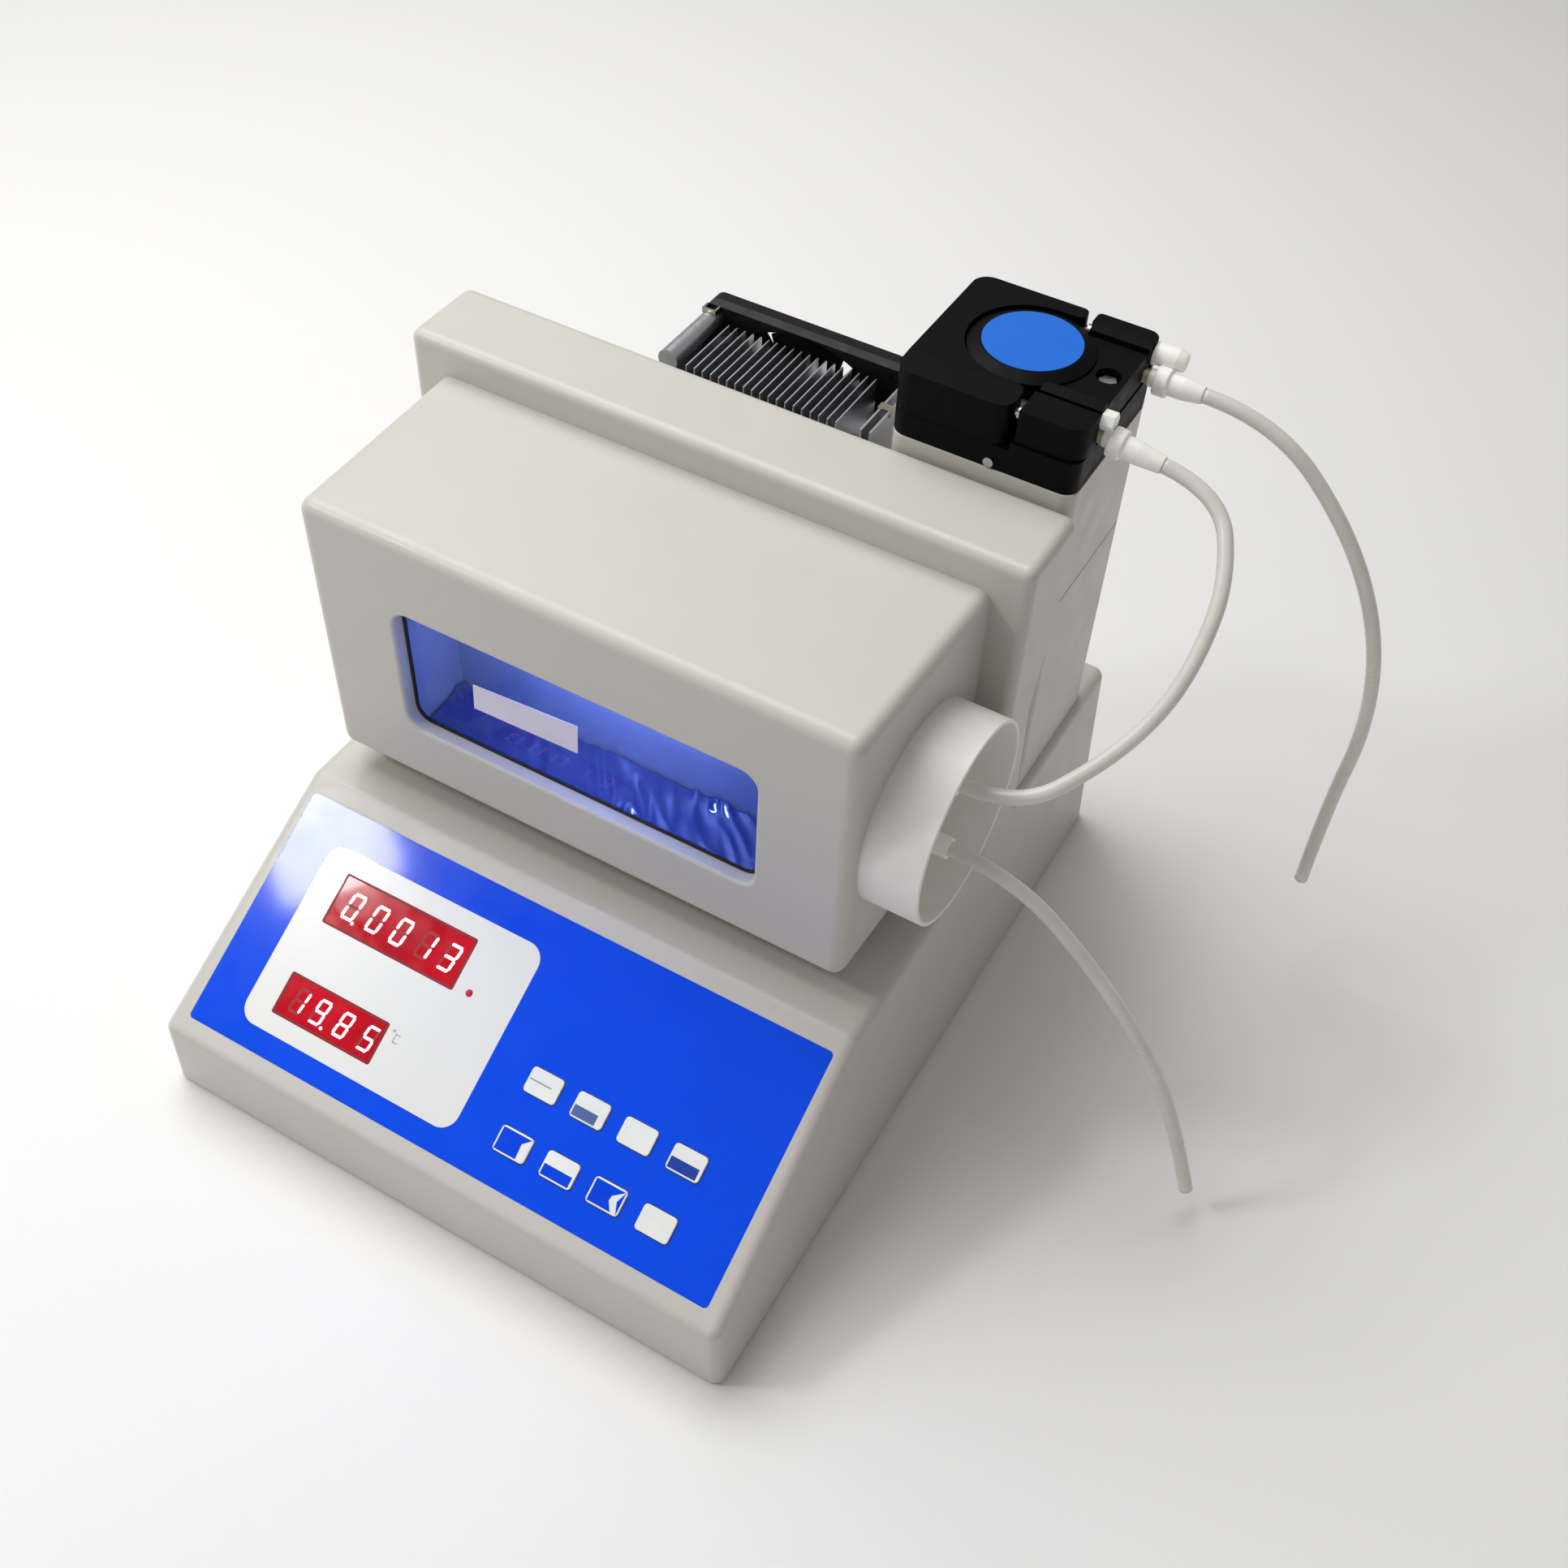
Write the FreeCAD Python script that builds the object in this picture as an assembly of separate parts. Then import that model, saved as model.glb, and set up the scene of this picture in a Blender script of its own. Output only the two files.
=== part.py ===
"""Benchtop liquid density meter fed by a peristaltic pump head.

Millimetres, +Z up, the operator's side faces -Y.  Every dimension below is
measured from the front face of the console (y = 0) and from the bench (z = 0);
save() moves each piece so that the origin is the centre of the console's
footprint on the bench.
"""
import FreeCAD, Part
import math
import os

V = FreeCAD.Vector
X_AXIS, Y_AXIS, Z_AXIS = V(1, 0, 0), V(0, 1, 0), V(0, 0, 1)
OUT_DIR = "parts"
REACH = 200.0                    # longer than any piece, for shapes that only cut or trim
OVERRUN = 50.0                   # how far a working outline runs past the finished form

# ---- console ---------------------------------------------------------------
CONSOLE_DEPTH = 355.0
CONSOLE_HALF_BOTTOM = 140.0      # half width at the bench
CONSOLE_HALF_TOP = 134.9         # half width at the flat top
CONSOLE_TOP = 101.7
FRONT_HEIGHT = 40.0              # height of the upright front face
FOLD_Y = 109.1                   # where the sloping panel meets the flat top
CONSOLE_WALL = 3.0
CONSOLE_ROUND = 5.0
RIM_Z = 2.0                      # underside of the shell, clear of the bench
FLOOR_T = 2.5                    # thickness of the bottom plate
SLOPE = math.degrees(math.atan2(CONSOLE_TOP - FRONT_HEIGHT, FOLD_Y))
FLOOR_X, FLOOR_Y, FLOOR_ROUND = (-136.2, 136.2), (3.4, 351.6), 4.0
FLOOR_VENT_X, FLOOR_VENT_Y, VENT_W, FLOOR_VENT_L = range(-40, 41, 10), (60, 120), 3.0, 40.0
REAR_VENT_X, REAR_VENT_Z = range(10, 90, 8), (40.0, 74.0)
FOOT_R, FOOT_X, FOOT_Y, FOOT_ROUND = 9.0, 112.0, (32.0, 323.0), 0.8
BOSS_R, BOSS_HOLE_R, BOSS_X, BOSS_Y = 5.0, 1.5, 127.0, (20.0, 335.0)
SCREW_R, SCREW_HEAD_R, SCREW_HEAD_H, SCREW_L = 1.4, 2.9, 1.3, 12.0
HOOD_WIRES_Y, HOOD_WIRES_R = 234.0, 9.0
PUMP_WIRES_X, PUMP_WIRES_Y, PUMP_WIRES_R = 93.0, 296.0, 12.0

# ---- control panel, in the panel's own plane --------------------------------
# x across, v up the slope from its front edge, w out of the surface
OVERLAY_X, OVERLAY_V, OVERLAY_T, OVERLAY_ROUND = (-128.8, 128.8), (8.7, 117.0), 0.5, 2.0
LABEL_X, LABEL_V, LABEL_ROUND = (-108.5, 1.9), (18.7, 101.7), 8.0
WINDOWS = {"upper": ((-95.5, -27.1), (69.4, 92.9)), "lower": ((-95.8, -44.3), (26.8, 46.0))}
WINDOW_LEDGE, WINDOW_ROUND = 1.6, 1.2
LED_X, LED_V, LED_R = -19.7, 71.8, 1.5
KEY_X = (28.4, 50.7, 73.0, 95.9)
KEY_V = (53.4, 27.5)
KEY_W, KEY_H, KEY_ROUND, KEY_GAP = 15.7, 11.6, 2.0, 0.35
KEY_PROUD, KEY_FLANGE, KEY_FLANGE_W = 0.9, 0.9, (-4.9, -3.4)
KEY_STEM_R, KEY_STEM_W = 1.8, -5.2
BOARD_W = -10.0                  # component side of the front board
BOARD_T = 1.6
BOARD_X, BOARD_V, BOARD_ROUND = (-118.0, 118.0), (17.0, 114.0), 3.0
PANEL_POST_X, PANEL_POST_V, PANEL_POST_R, PANEL_POST_L = 112.0, (24.0, 108.0), 3.0, 8.0
SWITCH_HALF, SWITCH_H, PLUNGER_R = 3.0, 3.4, 1.7
LED_FLANGE_R, LED_LEG_R, LED_LEG_X = 2.0, 0.25, 0.6

# ---- rear of the console -----------------------------------------------------
INLET_Y = CONSOLE_DEPTH - 2.0    # front of the flange that sits flush in the rear wall
INLET_X, INLET_Z, INLET_ROUND = (-120.0, -62.0), (26.0, 58.0), 3.0
INLET_BODY_X, INLET_BODY_Z, INLET_DEPTH_Y = (-115.7, -88.3), (30.3, 53.7), 330.0
SOCKET_X, SOCKET_Z, SOCKET_Y = (-113.2, -90.8), (33.4, 50.6), 338.0
SOCKET_PINS, PIN_HALF_X, PIN_HALF_Z, PIN_Y = ((-109, 42), (-102, 44), (-95, 42)), 1.0, 2.0, (337.0, 352.0)
SWITCH_BODY_X, SWITCH_BODY_Z, SWITCH_DEPTH_Y = (-81.7, -66.3), (31.3, 52.7), 336.0
SWITCH_WELL_X, SWITCH_WELL_Z = (-80.0, -68.0), (32.5, 51.5)
ROCKER_Y, ROCKER_Z, ROCKER_PIN_R = 347.5, 42.0, 1.2    # pivot of the mains switch
ROCKER_X, ROCKER_PIN_X, ROCKER_TILT = (-79.6, -68.4), (-81.1, -66.9), 9.0
ROCKER_OUTLINE = [(-5, -3), (5.8, -8.2), (4.6, 0), (5.8, 8.2), (-5, 3)]    # y, z about the pivot
RUNNING_GAP = 0.05               # radial clearance of a shaft that turns or slides

# ---- electronics on the floor plate ---------------------------------------------
STAND_R, MAIN_STAND_H, SUPPLY_STAND_H = 3.0, 9.5, 2.0
MAIN_STANDS = [(x, y) for x in (-104, 54) for y in (196, 324)]
SUPPLY_STANDS = [(x, y) for x in (74, 121) for y in (206, 314)]
MAIN_X, MAIN_Y = (-110.0, 60.0), (190.0, 330.0)
MAIN_CHIPS = [((-90, -50), (210, 240), 6.4), ((-30, 0), (270, 300), 3.4), ((10, 50), (290, 310), 10.4)]
MAIN_CANS = [(20, 220), (36, 220)]
CAN_R, CAN_H = 6.0, 18.0
SUPPLY_X, SUPPLY_Y, SUPPLY_H, SUPPLY_WALL = (70.0, 125.0), (202.0, 318.0), 36.0, 1.5
COIL_X, COIL_Y, COIL_H = (84.0, 112.0), (215.0, 245.0), 28.5
TOROID_X, TOROID_Y, TOROID_R, TOROID_H = 98.0, 280.0, 11.0, 28.0

# ---- measuring hood -----------------------------------------------------------
HOOD_X = -3.7                    # centre of the hood
HOOD_Y = (121.3, 216.6)
HOOD_Z = (114.2, 246.3)
HOOD_HALF = (122.4, 125.5)       # half width at the front and at the back
HOOD_WALL, HOOD_ROUND = 3.0, 5.5
PANE_HALF_X, PANE_Z = 82.5, (145.5, 209.0)
PANE_DEPTH, PANE_T, PANE_ROUND = 6.0, 2.0, 8.0
PANE_LIP, PANE_EDGE, PANE_MARGIN, GASKET_T, GASKET_LAP = 4.0, 1.6, 3.0, 1.0, 1.2
FRAME_X = (-144.1, 136.7)
FRAME_PROFILE = ((216.6, 101.7), (216.6, 261.6), (256.6, 261.6),
                 (256.6, 226.0), (244.5, 172.0), (250.0, 101.7))
FRAME_INNER = ((220.1, 96.7), (220.1, 258.1), (253.1, 258.1), (253.1, 226.5), (241.0, 172.0), (246.5, 96.7))
FRAME_WALL = 3.5
FRAME_OPENING = ((-100.0, 92.0), (126.0, 238.0))

# ---- side ring and sample ports ------------------------------------------------
RING_Y, RING_Z, RING_R, RING_WALL, RING_RIM_X = 169.8, 176.6, 42.5, 1.8, 144.1
RING_ROOT_X, RING_SEAT_X, RING_SEAT_WALL = 112.0, 123.5, 6.0
PORT_Y, PORT_UPPER_Z, PORT_LOWER_Z = 170.0, 195.0, 158.0
PORT_TIP_X, PORT_R, PORT_HOLE_R = 138.0, 4.4, 5.0
PORT_FLANGE_X, PORT_FLANGE_R, PORT_FLANGE_T = 120.3, 7.0, 2.5
CELL_R, CELL_WALL = 3.0, 0.6
CELL_X = (-52.0, 112.0)          # centre of the bend, open end of the legs
SUPPORT_X, SUPPORT_W, SUPPORT_Y, SUPPORT_Z = (-34.0, 52.0), 12.0, (162.0, 180.0), (148.0, 205.0)
BLOCK_X, BLOCK_Y, BLOCK_Z = (-80.0, 72.0), (180.0, 222.0), (140.0, 232.0)
BLOCK_FLANGE_X, BLOCK_FLANGE_Y, BLOCK_FLANGE_Z = (-112.0, 104.0), (213.6, 216.6), (122.0, 240.0)
BLOCK_POCKET_X, BLOCK_POCKET_Y, BLOCK_POCKET_Z = (-75.0, 67.0), (178.0, 186.0), (146.0, 207.0)
BRIDGE_Z = (197.5, 232.0)

# ---- cooling ---------------------------------------------------------------------
SINK_X = -4.4                    # centre line of the fins and the fan
COOLER_HALF, COOLER_T, COLD_PORT_HALF = 20.0, 4.0, 24.0
SINK_BASE_X, SINK_BASE_Y, SINK_BASE_Z = (-52.4, 46.0), (256.6, 261.8), (176.0, 250.0)
FIN_COUNT, FIN_PITCH, FIN_T = 19, 3.85, 0.6
FIN_Y, FIN_Z = (261.6, 295.6), (177.0, 258.0)
RAIL_X, RAIL_Z, RAIL_R, WEB_T = -47.9, 257.3, 4.5, 1.2
PLATE_X, PLATE_T, PLATE_TOP = (41.3, 45.4), 0.9, 259.0
FAN_SIZE, FAN_Y, FAN_Z, FAN_BORE = 95.0, (298.0, 306.2), 217.5, 45.4
FAN_ROUND, FAN_BEVEL, FAN_BEVEL_DROP = 5.0, 3.0, 1.6    # bevel along the frame's upper front edge
FAN_HUB_R, FAN_BLADES, FAN_TILT = 17.5, 7, 8.0
BLADE_ROOT, BLADE_TIP, BLADE_T = 8.5, 18.6, 1.2         # half widths at the hub and at the rim
BLADE_TIP_GAP, HUB_SINK, HUB_LAP = 1.2, 1.0, 0.4
FAN_SCREW_PITCH, FAN_SCREW_R = 82.5, 2.2
STRUT_T, STRUT_HALF, MOUNT_R, AXLE_R = 1.6, 1.5, 17.0, 2.0
CLIP_Z, CLIP_WALL, CLIP_L = (260.9, 263.4), 0.8, 4.2
CLIP_LEFT_X, CLIP_RIGHT_Y = (-51.3, -44.9), (277.0, 281.0)

# ---- pump pedestal ---------------------------------------------------------------
PEDESTAL_X, PEDESTAL_Y = (54.2, 131.8), (259.0, 332.5)
PEDESTAL_SEAM_Z, PEDESTAL_WALL, PEDESTAL_ROUND = 207.0, 2.5, 6.0
PEDESTAL_LID, SEAM_DEPTH, SEAM_HEIGHT = 3.0, 1.2, 0.8
MOTOR_HALF, MOTOR_Z, MOTOR_ROUND, MOTOR_SCREW = 21.0, (217.0, 265.0), 4.0, 15.5

# ---- peristaltic pump head ---------------------------------------------------------
HEAD_X, HEAD_Y = (53.5, 131.3), (260.0, 334.5)
HEAD_Z = (265.0, 294.5)
BASE_LEFT_Z, BASE_RIGHT_Z, STEP_X = 275.5, 279.0, 103.5
ROTOR_X, ROTOR_Y = 91.3, 301.5
HEAD_ROUND_LEFT, HEAD_ROUND_RIGHT = 7.0, 6.0
BED_R, BED_TIP_X, BED_GAP = 25.9, 101.5, 0.2
BED_TIP_ROUND, BED_FACET = (6.0, 3.0), (12.5, 0.9)
SIDE_SCREW_X, SIDE_SCREW_Z, BASE_RECESS_R = 96.3, 267.6, 21.0
TUBE_R, TUBE_BORE_R = 3.0, 2.0   # silicone tube
TRACK_R, TRACK_Z = 22.4, 282.0   # centre line of the tube around the rotor
ROLLER_R, ROLLER_PITCH_R, ROLLERS = 5.0, 14.1, 3
PLATE_Z = 292.4                  # top of the plate between the two jaws
CLAMP_X = 104.8                  # left side of both clamp blocks
CLAMP_FRONT_Y, CLAMP_FRONT_Z = (261.1, 275.5), 293.6
CLAMP_REAR_Y = (327.9, 334.9)
JAW_FRONT_Y, JAW_REAR_Y = (276.7, 281.9), (323.0, 327.6)
JAW_X, JAW_Z = (105.8, 130.8), (294.0, 294.9)
NOSE_X, NOSE_BORE_R = (100.0, 130.8), 20.0
CAP_R, CAP_Z, CAP_RIM_H = 25.0, (292.2, 295.4), 0.9
CAP_SPIGOT_R, CAP_SPIGOT_Z = 8.0, 289.2
SHAFT_R, HUB_R, PLATE_R, SHAFT_Z = 2.5, 6.5, 18.0, (240.0, 292.0)
ROTOR_PLATE_Z, ROTOR_PLATE_T, HUB_Z = (275.9, 287.4), 1.8, (276.0, 291.8)
ROLLER_Z, ROLLER_PIN_R, ROLLER_FIRST = (278.0, 287.1), 1.5, 30.0
DISC_R, DISC_T = 19.6, 0.6
GUIDE_R, GUIDE_Z, GUIDE_Y, GUIDE_X = 1.8, 288.0, (267.5, 331.0), (88.0, 116.0)
COLLAR_R, COLLAR_L = 2.6, 2.2
HEX_X, HEX_Y, HEX_R, HEX_POCKET_R, HEX_DEPTH, HEX_H = 123.5, 301.0, 3.8, 5.0, 5.5, 3.2
KNOB_Y, KNOB_Z, KNOB_R = 278.6, 289.9, 3.9
PLUG_Y, PLUG_Z, PLUG_R, PLUG_L, PLUG_TAPER = 330.4, 288.6, 4.9, 9.5, 1.2
STEM_R, KNOB_STEM, PLUG_STEM, KNOB_L = 1.2, 8.5, 8.0, 5.0
NUT_BACK_R, NUT_FLANGE_R, NUT_FLANGE = 3.6, 6.0, (2.6, 8.2)
SLEEVE_R, SLEEVE_TIP_R, SLEEVE_L = 4.6, 3.5, 6.0
FRONT_PORT = V(133.0, ROTOR_Y - TRACK_R, TRACK_Z)
FRONT_TIP = V(157.0, ROTOR_Y - TRACK_R, 279.0)
REAR_PORT = V(133.0, ROTOR_Y + TRACK_R, TRACK_Z)
REAR_TIP = V(155.0, ROTOR_Y + TRACK_R, TRACK_Z)

# ---- silicone tubes: corner points of each route ------------------------------------
TUBE_A = [(155, 323.9, 282), (184, 323.9, 282), (222, 323.9, 247), (246, 323.9, 205),
          (256, 323.9, 157), (253, 323.9, 103), (254, 323.9, 54)]
TUBE_B = [(157, 279.1, 279), (181, 279.1, 276), (196, 255, 259), (198, 231, 241),
          (194, 211, 226), (182, 191, 211), (161, 170, 195), (138, 170, 195)]
TUBE_C = [(138, 170, 158), (166, 170, 158), (204, 170, 127), (235, 170, 90),
          (254, 170, 52), (266, 170, 16)]


# ---- small helpers --------------------------------------------------------------------
def save(name, *solids):
    """Write one node, moved so that the footprint's centre is the origin."""
    shape = solids[0].copy() if len(solids) == 1 else Part.makeCompound(list(solids))
    shape.translate(V(0, -CONSOLE_DEPTH / 2, 0))
    if not shape.isValid():
        print("INVALID", name)
    shape.exportStep(os.path.join(OUT_DIR, name + ".step"))
    print("%-22s solids %2d  volume %9.0f" % (name, len(shape.Solids), shape.Volume))


def box(x, y, z):
    return Part.makeBox(x[1] - x[0], y[1] - y[0], z[1] - z[0], V(x[0], y[0], z[0]))


def cyl(x, y, z, radius, length, axis=Z_AXIS):
    return Part.makeCylinder(radius, length, V(x, y, z), axis)


def prism(points, direction):
    wire = Part.makePolygon([V(*p) for p in points] + [V(*points[0])])
    return Part.Face(wire).extrude(direction)


def prism_x(yz, x):
    return prism([(x[0], y, z) for y, z in yz], V(x[1] - x[0], 0, 0))


def prism_y(xz, y):
    return prism([(x, y[0], z) for x, z in xz], V(0, y[1] - y[0], 0))


def prism_z(xy, z):
    return prism([(x, y, z[0]) for x, y in xy], V(0, 0, z[1] - z[0]))


def fuse(first, *others):
    return first.multiFuse(list(others)).removeSplitter()


def cut(first, *others):
    return first.cut(Part.makeCompound(list(others)))


def round_edges(shape, radius, keep):
    edges = [e for e in shape.Edges if keep(e.BoundBox)]
    return shape.makeFillet(radius, edges)


def along_z(b):
    return b.ZLength > 0.2 and b.XLength < 1e-3 and b.YLength < 1e-3


def rounded_box(x, y, z, radius):
    return round_edges(box(x, y, z), radius, along_z)


def offset_inward(points, inset):
    """Move every side of a convex outline inward (points run anticlockwise)."""
    sides = []
    for (ax, ay), (bx, by) in zip(points, points[1:] + points[:1]):
        length = math.hypot(bx - ax, by - ay)
        nx, ny = -(by - ay) / length, (bx - ax) / length
        sides.append((nx, ny, nx * ax + ny * ay + inset))
    corners = []
    for (a1, b1, c1), (a2, b2, c2) in zip(sides[-1:] + sides[:-1], sides):
        det = a1 * b2 - a2 * b1
        corners.append(((c1 * b2 - c2 * b1) / det, (a1 * c2 - a2 * c1) / det))
    return corners


# ---- console ----------------------------------------------------------------------------
def console_block(inset, bottom, radius):
    """The console's outer form, or the same form shrunk by a wall thickness."""
    side = offset_inward([(0, -OVERRUN), (CONSOLE_DEPTH, -OVERRUN), (CONSOLE_DEPTH, CONSOLE_TOP),
                          (FOLD_Y, CONSOLE_TOP), (0, FRONT_HEIGHT)], inset)
    lean = (CONSOLE_HALF_BOTTOM - CONSOLE_HALF_TOP) / CONSOLE_TOP * OVERRUN
    low, high = CONSOLE_HALF_BOTTOM + lean - inset, CONSOLE_HALF_TOP - lean - inset
    ends = [(-low, -OVERRUN), (low, -OVERRUN), (high, CONSOLE_TOP + OVERRUN), (-high, CONSOLE_TOP + OVERRUN)]
    length = grown((0, CONSOLE_DEPTH), OVERRUN)
    block = prism_x(side, (-REACH, REACH)).common(prism_y(ends, length))
    block = round_edges(block, radius, lambda b: b.ZMax > RIM_Z - OVERRUN / 2)
    return block.cut(box((-REACH, REACH), length, (-2 * OVERRUN, bottom)))


def on_panel(shape):
    """Stand a piece drawn in panel coordinates (x, v, w) on the sloping panel."""
    shape.Placement = FreeCAD.Placement(V(0, 0, FRONT_HEIGHT), FreeCAD.Rotation(X_AXIS, SLOPE))
    return shape


def panel_box(x, v, w, radius):
    return rounded_box(x, v, w, radius) if radius else box(x, v, w)


def grown(span, by):
    return (span[0] - by, span[1] + by)


def key_centres():
    return [(x, v) for v in KEY_V for x in KEY_X]


def key_box(centre, extra, w, radius):
    x, v = centre
    return panel_box((x - KEY_W / 2 - extra, x + KEY_W / 2 + extra),
                     (v - KEY_H / 2 - extra, v + KEY_H / 2 + extra), w, radius)


def inlet_cutouts():
    behind = (INLET_DEPTH_Y + 5, CONSOLE_DEPTH + 5)
    pocket = rounded_plate_y(grown(INLET_X, 0.1), grown(INLET_Z, 0.1), (INLET_Y, behind[1]), INLET_ROUND)
    return [box(grown(INLET_BODY_X, 0.3), behind, grown(INLET_BODY_Z, 0.3)),
            box(grown(SWITCH_BODY_X, 0.3), behind, grown(SWITCH_BODY_Z, 0.3)), pocket]


def rear_vents():
    through = grown((CONSOLE_DEPTH - CONSOLE_WALL, CONSOLE_DEPTH), 5)
    return [box((x, x + VENT_W), through, REAR_VENT_Z) for x in REAR_VENT_X]


def corners_at(x, ys):
    """The four places (x, y) of a piece repeated on both sides and at both ends."""
    return [(side * x, y) for side in (-1, 1) for y in ys]


def make_console():
    outer = console_block(0, RIM_Z, CONSOLE_ROUND)
    shell = outer.cut(console_block(CONSOLE_WALL, RIM_Z - 5, CONSOLE_ROUND - CONSOLE_WALL))
    bosses = [cyl(x, y, RIM_Z + FLOOR_T, BOSS_R, CONSOLE_TOP).common(outer)
              for x, y in corners_at(BOSS_X, BOSS_Y)]
    posts = [on_panel(cyl(x, v, BOARD_W, PANEL_POST_R, PANEL_POST_L))
             for x, v in corners_at(PANEL_POST_X, PANEL_POST_V)]
    shell = fuse(shell, *(bosses + posts))
    tools = [cyl(x, y, RIM_Z, BOSS_HOLE_R, SCREW_L + 4) for x, y in corners_at(BOSS_X, BOSS_Y)]
    tools.append(on_panel(panel_box(grown(OVERLAY_X, 0.1), grown(OVERLAY_V, 0.1),
                                    (-OVERLAY_T, 2.0), OVERLAY_ROUND)))
    through = (-CONSOLE_WALL - 2, 1)
    for x, v in WINDOWS.values():
        tools.append(on_panel(box(grown(x, -WINDOW_LEDGE), grown(v, -WINDOW_LEDGE), through)))
    tools += [on_panel(key_box(c, 0, through, KEY_ROUND)) for c in key_centres()]
    tools.append(on_panel(cyl(LED_X, LED_V, through[0], LED_R + 0.1, 6)))
    tools += inlet_cutouts() + rear_vents()
    tools.append(cyl(0, HOOD_WIRES_Y, CONSOLE_TOP - 10, HOOD_WIRES_R, 20))
    tools.append(cyl(PUMP_WIRES_X, PUMP_WIRES_Y, CONSOLE_TOP - 10, PUMP_WIRES_R, 20))
    save("console_shell", cut(shell, *tools))


def make_floor():
    top = RIM_Z + FLOOR_T
    plate = rounded_box(FLOOR_X, FLOOR_Y, (RIM_Z, top), FLOOR_ROUND)
    posts = [cyl(x, y, top, STAND_R, MAIN_STAND_H) for x, y in MAIN_STANDS]
    posts += [cyl(x, y, top, STAND_R, SUPPLY_STAND_H) for x, y in SUPPLY_STANDS]
    holes = [box((x, x + VENT_W), (y, y + FLOOR_VENT_L), (0, top + 1))
             for x in FLOOR_VENT_X for y in FLOOR_VENT_Y]
    for x, y in corners_at(BOSS_X, BOSS_Y):
        holes.append(cyl(x, y, 0, SCREW_R + 0.3, top + 1))
        holes.append(Part.makeCone(SCREW_HEAD_R + 0.1, SCREW_R + 0.3, SCREW_HEAD_H, V(x, y, RIM_Z)))
    save("bottom_plate", cut(fuse(plate, *posts), *holes))
    feet = [cyl(x, y, 0, FOOT_R, RIM_Z) for x, y in corners_at(FOOT_X, FOOT_Y)]
    save("rubber_feet", *[round_edges(foot, FOOT_ROUND, lambda b: b.ZMax < 0.1) for foot in feet])
    save("bottom_screws", *[make_floor_screw(x, y) for x, y in corners_at(BOSS_X, BOSS_Y)])


def make_floor_screw(x, y):
    head = Part.makeCone(SCREW_HEAD_R, SCREW_R + 0.2, SCREW_HEAD_H, V(x, y, RIM_Z))
    shank = cyl(x, y, RIM_Z + 1.0, SCREW_R, SCREW_L)
    slot = box(grown((x, x), 0.4), grown((y, y), 2.2), (RIM_Z - 1, RIM_Z + 0.6))
    return fuse(head, shank).cut(slot)


def make_panel():
    skin, deep = (-OVERLAY_T, 0.0), (-2, 2)
    label = panel_box(LABEL_X, LABEL_V, skin, LABEL_ROUND)
    overlay = panel_box(OVERLAY_X, OVERLAY_V, skin, OVERLAY_ROUND).cut(label)
    overlay = cut(overlay, *[key_box(c, 0, deep, KEY_ROUND) for c in key_centres()])
    save("panel_overlay", on_panel(overlay))
    panes = [panel_box(x, v, skin, WINDOW_ROUND) for x, v in WINDOWS.values()]
    label = cut(label, cyl(LED_X, LED_V, deep[0], LED_R + 0.1, 4), *panes)
    save("display_label", on_panel(label))
    save("display_windows", *[on_panel(p) for p in panes])
    inset = -WINDOW_LEDGE - 0.4
    blocks = [box(grown(x, inset), grown(v, inset), (BOARD_W, -1.2)) for x, v in WINDOWS.values()]
    save("led_displays", *[on_panel(b) for b in blocks])
    save("indicator_led", on_panel(make_led()))
    board = panel_box(BOARD_X, BOARD_V, (BOARD_W - BOARD_T, BOARD_W), BOARD_ROUND)
    save("front_board", on_panel(fuse(board, *[make_switch(x, v) for x, v in key_centres()])))
    for number, centre in enumerate(key_centres(), 1):
        save("key_%d" % number, on_panel(make_key(centre)))


def make_led():
    """Round lens with a flange and two legs down to the board."""
    legs = [cyl(LED_X + side * LED_LEG_X, LED_V, BOARD_W, LED_LEG_R, 3.2) for side in (-1, 1)]
    lens = fuse(cyl(LED_X, LED_V, -6, LED_R, 5.6), cyl(LED_X, LED_V, -7, LED_FLANGE_R, 1.4), *legs)
    return fuse(lens, Part.makeSphere(LED_R, V(LED_X, LED_V, -0.7)))


def make_switch(x, v):
    body = box(grown((x, x), SWITCH_HALF), grown((v, v), SWITCH_HALF), (BOARD_W, BOARD_W + SWITCH_H))
    return fuse(body, cyl(x, v, BOARD_W + SWITCH_H - 0.4, PLUNGER_R, 1.0))


def make_key(centre):
    """A key cap with a flange under the shell and a stem over its switch."""
    x, v = centre
    cap = key_box(centre, -KEY_GAP, (-4.2, KEY_PROUD), KEY_ROUND - KEY_GAP)
    cap = round_edges(cap, 0.3, lambda b: b.ZMin > KEY_PROUD - 0.01)
    flange = key_box(centre, KEY_FLANGE, KEY_FLANGE_W, KEY_ROUND)
    return fuse(cap, flange, cyl(x, v, KEY_STEM_W, KEY_STEM_R, 1.0))


def make_electronics():
    level = RIM_Z + FLOOR_T + MAIN_STAND_H
    board = box(MAIN_X, MAIN_Y, (level, level + BOARD_T))
    chips = [box(x, y, (level + BOARD_T, level + BOARD_T + height)) for x, y, height in MAIN_CHIPS]
    chips += [cyl(x, y, level + BOARD_T, CAN_R, CAN_H) for x, y in MAIN_CANS]
    save("main_board", fuse(board, *chips))
    save("power_supply", make_supply())
    save("power_inlet", make_inlet())
    save("power_switch", make_rocker())


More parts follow.
